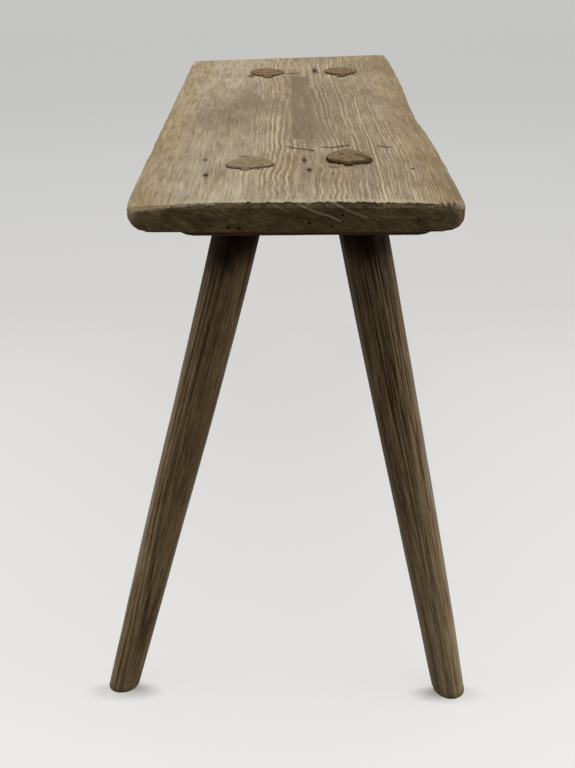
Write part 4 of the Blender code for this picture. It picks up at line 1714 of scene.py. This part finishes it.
@dataclass
class Leg:
    """A hand-shaved leg: ten long flats, tool marks, open grain, a bow, and a tenon end in the seat."""

    frame: dict
    name: str
    finish: Finish
    style: LegStyle
    shoulder: float
    ring_step: float = 0.0060
    overrun: float = 0.01
    end_cell: float = 0.0013
    turn_count: int = 80
    flat_count: int = 10
    flat_depth: float = 0.00022
    fibre_depth: float = 0.00012
    groove_depth: float = 0.00022
    check_depth: float = 0.0010
    chip_depth: float = 0.0016
    end_depth: float = 0.00022
    # How far under the seat's top the tenon is cut level for the finer grid
    end_drops: Triple = (0.0006, 0.0016, 0.0032)
    end_layer: float = 0.0005
    grime_drop: float = 0.0030
    joint_drop: float = 0.008
    shoulder_reach: float = 0.0006
    sole_reach: float = 0.004
    sole_skin: float = 0.0002
    shake_reach: float = 0.0030
    arris_reach: float = 0.0010
    arris_most: float = 0.6
    # Painted sheen along the left and right edges: how far under the shoulder it stops, its strength, and where
    # its facing starts and is full
    sheen_drop: float = 0.02
    sheen_most: float = 0.8
    sheen_facing: tuple[float, float] = (0.78, 0.93)
    shake_grime: float = 0.90
    rim_dirt: float = 0.30
    joint_dirt: tuple[float, float] = (0.0004, 0.0034)
    foot_dirt: float = 0.45
    foot_dirt_height: float = 0.006
    check_width: float = 0.030
    chip_height: float = 0.014
    groove: Span = (0.0, 0.25, 0.30, 0.70)
    # Drops under the shoulder where the painted shade under the seat starts and is full, then where its weaker
    # third starts and is full
    shade_drops: tuple[float, float] = (0.062, 0.016)
    half_shade_drops: tuple[float, float] = (0.170, 0.040)
    sharp_angle: float = 50.0

    def __post_init__(self) -> None:
        """Read the leg's axes and its tenon's outline."""
        self.grain = self.style.grain
        self.axes = LegAxes.of_leg(self.frame, "leg_" + self.name)
        self.spot = TenonSpot.of_leg(self.frame, "leg_" + self.name)
        self.joint = Joint(self.frame, ["wedge_" + self.name])

    def build(self) -> Piece:
        """Slice and wear the leg.

        Returns:
            The scene object.
        """
        piece = WorkPiece(self.frame, "leg_" + self.name)
        axes = self.axes
        heights = steps(-self.overrun, axes.length + self.overrun, self.ring_step)
        piece.slice(axes.up, [axes.foot + axes.up * height for height in heights])
        piece.slice(UP, [UP * (axes.top.z - drop) for drop in self.end_drops])
        piece.turn_slices(axes.top, axes.up, axes.across, self.turn_count)
        spot = self.spot
        for axis, middle, half in ((ACROSS, spot.x, spot.half_x), (ALONG, spot.y, spot.half_y)):
            piece.grid(axis, middle - half, middle + half, self.end_cell, self.is_tenon_end)
        piece.mark_place(lambda place: self.grain.wood_place(axes.local(place)))
        piece.mark(Mark.RING, lambda place, normal: self.grain.count(axes.local(place)))
        piece.mark(Mark.LINE, lambda place, normal: self.grain.strength(self.grain.count(axes.local(place))))
        piece.mark(Mark.END, self.end_grain)
        piece.mark(Mark.HEIGHT, lambda place, normal: place.z / self.shoulder)
        piece.mark(Mark.PALE, self.arris)
        # Painted sheen along the leg's left and right edges
        piece.mark(Mark.BLEACH_AND_SHEEN, self.edge)
        piece.mark(Mark.DIRT_AND_SHADE, self.dirt_and_shade)
        piece.mark(Mark.GRIME, self.grime)
        piece.wear(self.wear)
        return piece.finish("leg_" + self.name + "_shaved", self.finish, "leg_wood", self.sharp_angle)

    def is_tenon_end(self, face: Face) -> bool:
        """Whether a face is part of the tenon's end in the seat's top."""
        return face.calc_center_median().z > self.axes.top.z - self.end_layer

    def end_grain(self, place: Vector, normal: Vector) -> float:
        """Where the cut end of the leg shows its rings."""
        return 1.0 if place.z > self.axes.top.z - END_SKIN or place.z < self.sole_skin else 0.0

    def grime(self, place: Vector, normal: Vector) -> float:
        """Brown grime on the tenon's end: along its near side, and in its shakes.

        Args:
            place: A place on the leg.
            normal: Its outward direction.

        Returns:
            How brown it is, from 0 to 1.
        """
        if place.z < self.axes.top.z - self.grime_drop:
            return 0.0
        shake = min((near_polyline(place.x, place.y, line) for line in self.style.shakes), default=1.0)
        edge_grime = self.style.grime * self.spot.grime(place, self.grain.seed)
        return max(edge_grime, self.shake_grime * lobe(shake, self.shake_reach))

    def arris(self, place: Vector, normal: Vector) -> float:
        """Rubbed, paler line along the arris between two flats.

        Args:
            place: A place on the leg.
            normal: Its outward direction.

        Returns:
            How pale the arris is, from 0 to 1.
        """
        if place.z > self.shoulder:
            return 0.0
        local = self.axes.local(place)
        share = math.atan2(local.y, local.x) / math.tau * self.flat_count
        away = abs(share - round(share)) * math.tau / self.flat_count * math.hypot(local.x, local.y)
        rub = 0.45 + 0.9 * rough(round(share) * 3.1, self.grain.seed, local.z * 7, 2)
        return self.arris_most * lobe(away, self.arris_reach) * min(max(rub, 0.0), 1.0)

    def edge(self, place: Vector, normal: Vector) -> float:
        """Painted grey sheen along the leg's left and right edges, on the faces that look across the seat.

        Args:
            place: A place on the leg.
            normal: Its outward direction.

        Returns:
            How grey it is, from 0 to 1.
        """
        if place.z > self.shoulder - self.sheen_drop:
            return 0.0
        sheen_noise = 0.55 + 0.6 * rough(place.x * 12, self.grain.seed, place.z * 9)
        facing = smoothstep(*self.sheen_facing, abs(normal.dot(self.axes.across)))
        return min(max(sheen_noise, 0.0), 1.0) * self.sheen_most * facing

    def dirt_and_shade(self, place: Vector, normal: Vector) -> float:
        """Dirt in the joint and on the foot's rim, and painted shade under the seat and on the side that faces
        the other leg.

        Args:
            place: A place on the leg.
            normal: Its outward direction.

        Returns:
            How dark the dirt and painted shade are, from 0 to 1.
        """
        if place.z > self.shoulder:
            rim = self.rim_dirt * smoothstep(0.93, 1.0, math.hypot(*self.spot.shares(place.x, place.y)))
            return rim + (1.0 - rim) * smoothstep(*self.joint_dirt, self.axes.top.z - place.z)
        height = place.z + 0.012 * rough(place.x * 60, place.y * 60, self.grain.seed)
        # Painted shade: darkest just under the seat, fading down the leg
        start, full = (self.shoulder - drop for drop in self.shade_drops)
        half_start, half_full = (self.shoulder - drop for drop in self.half_shade_drops)
        shade = max(smoothstep(start, full, height), 0.34 * smoothstep(half_start, half_full, height))
        # Painted shade on the side that faces the other leg
        inner = -math.copysign(1.0, self.axes.foot.x) * normal.x + 0.2 * rough(place.z * 9, 1.0, 2.0)
        shade = max(shade, self.style.inner_shade * smoothstep(0.25, 0.80, inner))
        return max(shade, self.foot_dirt * (1.0 - smoothstep(0.0, self.foot_dirt_height, place.z)))

    def wear(self, place: Vector, normal: Vector) -> Vector:
        """How the drawknife, drying and use have changed a place.

        Args:
            place: A place on the leg.
            normal: Its outward direction.

        Returns:
            The shift.
        """
        seed = self.grain.seed
        if place.z > self.shoulder - self.shoulder_reach:
            if place.z < self.axes.top.z - self.joint_drop:
                return Vector()
            shift = self.joint.closing(place, 0.85)
            if place.z > self.axes.top.z - END_SKIN:
                shift.z -= self.end_depth * (1.0 + rough(place.x * 240, place.y * 240, seed))
            return shift
        local = self.axes.local(place)
        turn = math.atan2(local.y, local.x)
        ring_x, ring_y = math.cos(turn), math.sin(turn)
        share = min(max(place.z / self.shoulder, 0.0), 1.0)
        count = self.grain.count(local)
        groove = plateau(count % 1.0, self.groove) * self.grain.strength(count)
        inset = self.flat_depth * max(0.0, 1.0 + rough(ring_x * 2.2 + seed, ring_y * 2.2, local.z * 9))
        inset += self.fibre_depth * max(0.0, 1.0 + rough(ring_x * 26 + seed, ring_y * 26, local.z * 7, 2))
        inset += self.groove_depth * groove
        check = lobe(rough(ring_x * 7, ring_y * 7 + seed, local.z * 1.6, 2), self.check_width)
        inset += self.check_depth * check * smoothstep(0.1, 0.5, rough(seed, turn, local.z * 5))
        low = 1.0 - smoothstep(0.0, self.chip_height, place.z)
        inset += self.chip_depth * low * max(0.0, rough(ring_x * 4, ring_y * 4 + seed, local.z * 50))
        radial = (self.axes.across * ring_x + self.axes.along * ring_y).normalized()
        shift = radial * (-inset * smoothstep(0.15, 0.6, normal.dot(radial)))
        bow = lobe(share - self.style.bow_share, self.style.bow_reach) * smoothstep(0.0, 0.15, share)
        shift += self.axes.across * self.style.bow * bow
        if place.z < self.sole_reach:
            shift.z = max(shift.z, -place.z)
        return shift


@dataclass
class Wedge:
    """The wedge that spreads a tenon along the seat's grain."""

    frame: dict
    name: str
    finish: Finish
    style: LegStyle
    cell: float = 0.0012
    round_reach: float = 0.0042
    round_least: float = 0.06
    bite_reach: float = 0.0045
    end_depth: float = 0.0003
    ring_share: float = 1.7
    line_share: float = 0.5
    bite_dirt: float = 0.6
    bite_dirt_reach: float = 0.003
    # Darkness of the sides in the tenon's kerf: dirt with painted shade between the wedge and its tenon
    side_dirt_and_shade: float = 0.45
    sharp_angle: float = 40.0

    def __post_init__(self) -> None:
        """Read the wedge's box, its leg's axes and its tenon's outline."""
        self.grain = self.style.grain
        self.axes = LegAxes.of_leg(self.frame, "leg_" + self.name)
        self.spot = TenonSpot.of_leg(self.frame, "leg_" + self.name)
        self.low, self.high = (Vector(corner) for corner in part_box("wedge_" + self.name))

    def build(self) -> Piece:
        """Slice and wear the wedge.

        Returns:
            The scene object.
        """
        piece = WorkPiece(self.frame, "wedge_" + self.name)
        piece.grid(ACROSS, self.low.x, self.high.x, self.cell)
        piece.grid(ALONG, self.low.y, self.high.y, self.cell)
        piece.mark_place(lambda place: self.grain.wood_place(self.axes.local(place)))
        piece.mark(Mark.RING, self.ring)
        piece.mark(Mark.GRIME, self.grime)
        piece.mark(Mark.LINE, self.line_share)
        piece.mark(Mark.END, lambda place, normal: 1.0 if self.is_end(place) else 0.0)
        piece.mark(Mark.HEIGHT, 1.0)
        piece.mark(Mark.PALE, 0.0)
        piece.mark(Mark.DIRT_AND_SHADE, self.dirt_and_shade)
        piece.wear(self.wear)
        return piece.finish("wedge_" + self.name + "_end", self.finish, "wedge_wood", self.sharp_angle)

    def is_end(self, place: Vector) -> bool:
        """Whether a place is on the wedge's cut end."""
        return place.z > self.high.z - END_SKIN

    def ring(self, place: Vector, normal: Vector) -> float:
        """Count of year rings, which are finer than the leg's."""
        return self.grain.count(self.axes.local(place)) * self.ring_share

    def grime(self, place: Vector, normal: Vector) -> float:
        """Brown grime, as on the tenon round it."""
        return self.style.grime * self.spot.grime(place, self.grain.seed)

    def dirt_and_shade(self, place: Vector, normal: Vector) -> float:
        """Dirt on the wedge's near end, and dirt with painted shade down its sides, between the wedge and its
        tenon.

        Args:
            place: A place on the wedge.
            normal: Its outward direction.

        Returns:
            How dark the dirt is, from 0 to 1.
        """
        if self.is_end(place):
            past_bite = max(place.y - (self.low.y + self.bite_reach), 0.0)
            return self.bite_dirt * self.style.grime * lobe(past_bite, self.bite_dirt_reach)
        # Sides: painted shade between the wedge and its tenon, darker where the tenon is grimy
        return self.side_dirt_and_shade + self.side_dirt_and_shade * self.style.grime

    def wear(self, place: Vector, normal: Vector) -> Vector:
        """Roughen the wedge's cut end and round its near corners.

        Args:
            place: A place on the wedge.
            normal: Its outward direction.

        Returns:
            The shift.
        """
        shift = Vector()
        if self.is_end(place):
            shift.z = -self.end_depth * (1.0 + rough(place.x * 300, place.y * 120, 5.0))
        back = min((place.y - self.low.y) / self.round_reach, 1.0)
        round_share = math.sqrt(max(1.0 - (1.0 - back) ** 2, self.round_least))
        middle = (self.low.x + self.high.x) / 2
        shift.x = (middle - place.x) * (1.0 - round_share)
        return shift


# Battens
BATTEN_GRAIN = SplitGrain(21.0, 90.0, -0.070, 240.0)
BATTEN_WOOD = DarkWood(
    "batten_wood_rough", body=(0.110, 0.058, 0.024), fibre=(0.060, 0.032, 0.014),
    pale=(0.190, 0.118, 0.060), end=(0.100, 0.066, 0.036), end_late=(0.055, 0.034, 0.018),
    roughness_low=0.7, roughness_high=0.9,
)


@dataclass
class Batten:
    """A cross batten under the seat, sawn rough, with softened edges."""

    frame: dict
    end: str
    finish: Finish
    grain: SplitGrain
    cell: float = 0.0034
    end_inset: float = 0.026
    side_inset: float = 0.003
    face_skin: float = 0.0004
    saw_depth: float = 0.00018
    lump_depth: float = 0.00035
    line_share: float = 0.7
    height_share: float = 0.8
    end_facing: tuple[float, float] = (0.5, 0.9)
    # How much darker the faces left in sight are
    face_darkening: float = 0.35
    sharp_angle: float = 45.0

    def __post_init__(self) -> None:
        """Read the batten's box."""
        self.node = "batten_" + self.end
        self.low, self.high = (Vector(corner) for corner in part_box(self.node))
        self.middle = (self.low + self.high) / 2

    def build(self) -> Piece:
        """Slice and wear the batten.

        Returns:
            The scene object.
        """
        piece = WorkPiece(self.frame, self.node)
        for index, axis in enumerate((ACROSS, ALONG, UP)):
            piece.grid(axis, self.low[index], self.high[index], self.cell)
        piece.mark_place(self.wood_place)
        piece.mark(Mark.RING, lambda place, normal: self.grain.count(self.wood_place(place)))
        piece.mark(Mark.LINE, self.line_share)
        piece.mark(Mark.PALE, 0.0)
        piece.mark(Mark.END, lambda place, normal: smoothstep(*self.end_facing, abs(normal.x)))
        piece.mark(Mark.HEIGHT, self.height_share)
        # Painted shade on faces hidden against the seat and round the legs; a set darkening on the rest
        piece.mark(Mark.DIRT_AND_SHADE, lambda place, normal: 1.0 if self.is_hidden(place) else self.face_darkening)
        piece.wear(self.wear)
        return piece.finish(self.node + "_rough", self.finish, "batten_wood", self.sharp_angle)

    def wood_place(self, place: Vector) -> Vector:
        """A place in the batten's own axes, with its length last."""
        return Vector((place.y - self.middle.y, place.z - self.middle.z, place.x))

    def is_hidden(self, place: Vector) -> bool:
        """Whether a place is on a wall inside the batten or on its top.

        Args:
            place: A place on the batten.

        Returns:
            True on hidden faces.
        """
        low, high, middle = self.low, self.high, self.middle
        inside = abs(place.x - middle.x) < (high.x - low.x) / 2 - self.end_inset
        inside = inside and abs(place.y - middle.y) < (high.y - low.y) / 2 - self.side_inset
        return (inside and place.z > low.z + self.face_skin) or place.z > high.z - self.face_skin

    def wear(self, place: Vector, normal: Vector) -> Vector:
        """Saw marks and softened edges, inwards.

        Args:
            place: A place on the batten.
            normal: Its outward direction.

        Returns:
            The shift.
        """
        if self.is_hidden(place):
            return Vector()
        saw = 1.0 + rough(place.x * 9, place.y * 230, place.z * 230, 3)
        lump = 1.0 + rough(place.x * 40, place.y * 40, place.z * 40, 3)
        return normal * (-self.saw_depth * saw - self.lump_depth * lump)


# Nails
@dataclass
class Nail:
    """A forged nail: a beaten, slightly domed head on a square tapered shank."""

    frame: dict
    name: str
    finish: Finish
    head_flat: float = 0.00018
    head_slices: int = 18
    head_rings: int = 10
    head_share: float = 0.98
    dome_share: float = 0.32
    beaten_share: float = 0.10
    shank_share: float = 0.5
    point_share: float = 0.17
    neck_share: float = 0.4
    sharp_angle: float = 45.0

    def build(self) -> Piece:
        """Beat the head and forge the shank.

        Returns:
            The scene object.
        """
        node = "nail_" + self.name
        low, high = (Vector(corner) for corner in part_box(node))
        middle = (low + high) / 2
        radius = (high.x - low.x) / 2
        shape = bmesh.new()
        head_place = Matrix.Translation((middle.x, middle.y, high.z - radius * self.dome_share))
        bmesh.ops.create_uvsphere(
            shape, u_segments=self.head_slices, v_segments=self.head_rings,
            radius=radius * self.head_share,
            matrix=head_place @ Matrix.Diagonal((1.0, 1.0, self.dome_share, 1.0)),
        )
        for vert in shape.verts:
            beaten = (1.0 + rough(vert.co.x * 500, vert.co.y * 500, vert.co.z * 300, 2)) / 2
            facet = 1.0 - self.beaten_share * beaten
            vert.co.x = middle.x + (vert.co.x - middle.x) * facet
            vert.co.y = middle.y + (vert.co.y - middle.y) * facet
            vert.co.z = min(vert.co.z, high.z - self.head_flat)
        length = high.z - low.z - radius * self.neck_share
        bmesh.ops.create_cone(
            shape, cap_ends=True, segments=4, radius1=radius * self.point_share,
            radius2=radius * self.shank_share, depth=length,
            matrix=Matrix.Translation((middle.x, middle.y, low.z + length / 2)),
        )
        return dress(object_from(node + "_forged", shape), node, self.finish, self.sharp_angle)


# Studio
@dataclass(frozen=True)
class Lamp:
    """A square area light that looks at a target."""

    name: str
    place: Triple
    target: Triple
    size: float
    watts: float

    def build(self) -> None:
        """Hang the light in the scene."""
        light = bpy.data.lights.new(self.name, "AREA")
        light.size = self.size
        light.energy = self.watts
        item = bpy.data.objects.new(self.name, light)
        item.location = self.place
        look = Vector(self.target) - Vector(self.place)
        item.rotation_euler = look.to_track_quat("-Z", "Y").to_euler()
        bpy.context.scene.collection.objects.link(item)


@dataclass(frozen=True)
class Studio:
    """Pale floor that fades with distance, soft top light, weak fill and the photograph's camera."""

    floor_size: float = 40.0
    camera_place: Triple = (-0.00886, -1.15512, 0.75025)
    pitch_down: float = 28.378
    yaw_right: float = 0.096
    roll: float = -0.110
    focal_pixels: float = 950.0
    image_height: float = 768.0
    sensor: float = 36.0
    floor_colour: Colour = (0.36, 0.35, 0.33)
    floor_roughness: float = 0.9
    floor_glow: float = 0.84
    shadow_squeeze: float = 2.9
    shadow_shift: float = 0.012
    shadow_reach: tuple[float, float] = (0.016, 0.048)
    shadow_glow: float = 0.05
    paper_start: float = -0.7
    paper_length: float = 6.3
    paper_tones: Stops = (
        (0.026, (0.850, 0.843, 0.827)), (0.064, (0.800, 0.793, 0.777)), (0.140, (0.722, 0.715, 0.702)),
        (0.204, (0.650, 0.643, 0.630)), (0.308, (0.628, 0.625, 0.611)), (0.497, (0.606, 0.606, 0.593)),
        (0.980, (0.640, 0.640, 0.627)),
    )
    sky_colour: Colour = (1.0, 0.97, 0.93)
    sky_strength: float = 0.24
    wall_colour: Colour = (0.571, 0.571, 0.558)
    lamps: Sequence[Lamp] = (
        Lamp("top_light", (0.10, 0.60, 2.5), (0.0, 0.05, 0.3), 2.4, 58.0),
        Lamp("left_light", (-1.9, -0.30, 0.7), (0.0, -0.3, 0.25), 1.0, 14.0),
        Lamp("right_light", (1.9, -0.30, 0.7), (0.0, -0.3, 0.25), 1.0, 20.0),
    )

    def build(self, soles: Sequence[Vector]) -> None:
        """Make the floor, the lights, the world and the camera.

        Args:
            soles: Middles of the legs' soles.
        """
        self.floor(soles)
        for lamp in self.lamps:
            lamp.build()
        self.world()
        self.camera()

    def floor(self, soles: Sequence[Vector]) -> None:
        """The floor: paler towards the near side, with a weak wide shadow and a plain one at each foot.

        Args:
            soles: Middles of the legs' soles.
        """
        shape = bmesh.new()
        bmesh.ops.create_grid(shape, x_segments=1, y_segments=1, size=self.floor_size / 2)
        plane = object_from("studio_floor", shape)
        graph = Graph("studio_floor_paper")
        place = graph.object_place()
        depth = graph.add("ShaderNodeSeparateXYZ", {0: place}).outputs[1]
        share = graph.maths("DIVIDE", graph.maths("SUBTRACT", depth, self.paper_start), self.paper_length)
        seen = graph.ramp(share, self.paper_tones)
        nearest: Socket | None = None
        for sole in soles:
            middle = (sole.x, (sole.y - self.shadow_shift) * self.shadow_squeeze, 0.0)
            flat = graph.stretched(place, (1.0, self.shadow_squeeze, 0.0))
            measure = graph.add("ShaderNodeVectorMath", {0: flat, 1: middle}, operation="DISTANCE")
            away = measure.outputs["Value"]
            nearest = away if nearest is None else graph.maths("MINIMUM", nearest, away)
        glow = graph.band(nearest, *self.shadow_reach, self.shadow_glow, self.floor_glow)
        rays = graph.add("ShaderNodeLightPath").outputs
        seen_share = graph.maths("MAXIMUM", rays["Is Camera Ray"], rays["Is Glossy Ray"])
        graph.set("Base Color", graph.mix(seen_share, self.floor_colour, seen))
        graph.set("Roughness", self.floor_roughness)
        graph.set("Specular IOR Level", 0.0)
        paper = graph.add("ShaderNodeEmission", {"Color": seen, "Strength": 1.0}).outputs[0]
        links = {0: graph.times(seen_share, glow), 1: graph.shader.outputs[0], 2: paper}
        both = graph.add("ShaderNodeMixShader", links).outputs[0]
        graph.feed(graph.tree.nodes["Material Output"].inputs["Surface"], both)
        plane.data.materials.append(graph.material)

    def world(self) -> None:
        """Even weak light from all round, behind which the camera sees a pale wall."""
        world = bpy.data.worlds.new("studio_world")
        world.use_nodes = True
        tree = world.node_tree
        light = tree.nodes["Background"]
        light.inputs["Color"].default_value = (*self.sky_colour, 1.0)
        light.inputs["Strength"].default_value = self.sky_strength
        wall = tree.nodes.new("ShaderNodeBackground")
        wall.inputs["Color"].default_value = (*self.wall_colour, 1.0)
        rays = tree.nodes.new("ShaderNodeLightPath")
        both = tree.nodes.new("ShaderNodeMixShader")
        tree.links.new(rays.outputs["Is Camera Ray"], both.inputs[0])
        tree.links.new(light.outputs[0], both.inputs[1])
        tree.links.new(wall.outputs[0], both.inputs[2])
        tree.links.new(both.outputs[0], tree.nodes["World Output"].inputs["Surface"])
        bpy.context.scene.world = world

    def camera(self) -> None:
        """The photograph's camera."""
        lens = bpy.data.cameras.new("camera")
        lens.sensor_width = self.sensor
        lens.lens = self.focal_pixels * self.sensor / self.image_height
        lens.clip_end = self.floor_size * 2
        item = bpy.data.objects.new("camera", lens)
        turn = Matrix.Rotation(-math.radians(self.yaw_right), 4, "Z")
        turn = turn @ Matrix.Rotation(math.radians(90.0 - self.pitch_down), 4, "X")
        turn = turn @ Matrix.Rotation(math.radians(self.roll), 4, "Z")
        item.matrix_world = Matrix.Translation(self.camera_place) @ turn
        bpy.context.scene.collection.objects.link(item)
        bpy.context.scene.camera = item
        bpy.context.scene.view_settings.view_transform = "Standard"


def main() -> None:
    """Build the bench's looks and the studio."""
    logging.basicConfig(level=logging.INFO, format="%(name)s: %(message)s")
    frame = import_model()
    nail_names = sorted(name.removeprefix("nail_") for name in frame["nodes"] if name.startswith("nail_"))
    nails = [NailSpot.of_nail(name) for name in nail_names]
    tenons = [TenonSpot.of_leg(frame, "leg_" + name, style.proud) for name, style in LEG_STYLES.items()]
    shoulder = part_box("batten_near")[0][2] - SHOULDER_GAP
    makers: list[SeatPlank | Leg | Wedge | Batten | Nail] = []
    makers.append(SeatPlank(frame, SeatWood().build(), tenons, nails))
    for name, style in LEG_STYLES.items():
        wood = style.wood.build()
        makers += [Leg(frame, name, wood, style, shoulder), Wedge(frame, name, wood, style)]
    batten_wood = BATTEN_WOOD.build()
    makers += [Batten(frame, end, batten_wood, BATTEN_GRAIN) for end in ("near", "far")]
    iron = RustedIron().build()
    makers += [Nail(frame, name, iron) for name in nail_names]
    for maker in makers:
        piece = maker.build()
        LOG.info("%s: %d faces", piece.name, len(piece.data.polygons))
    Studio().build([LegAxes.of_leg(frame, "leg_" + name).foot for name in LEG_STYLES])


if __name__ == "__main__":
    main()
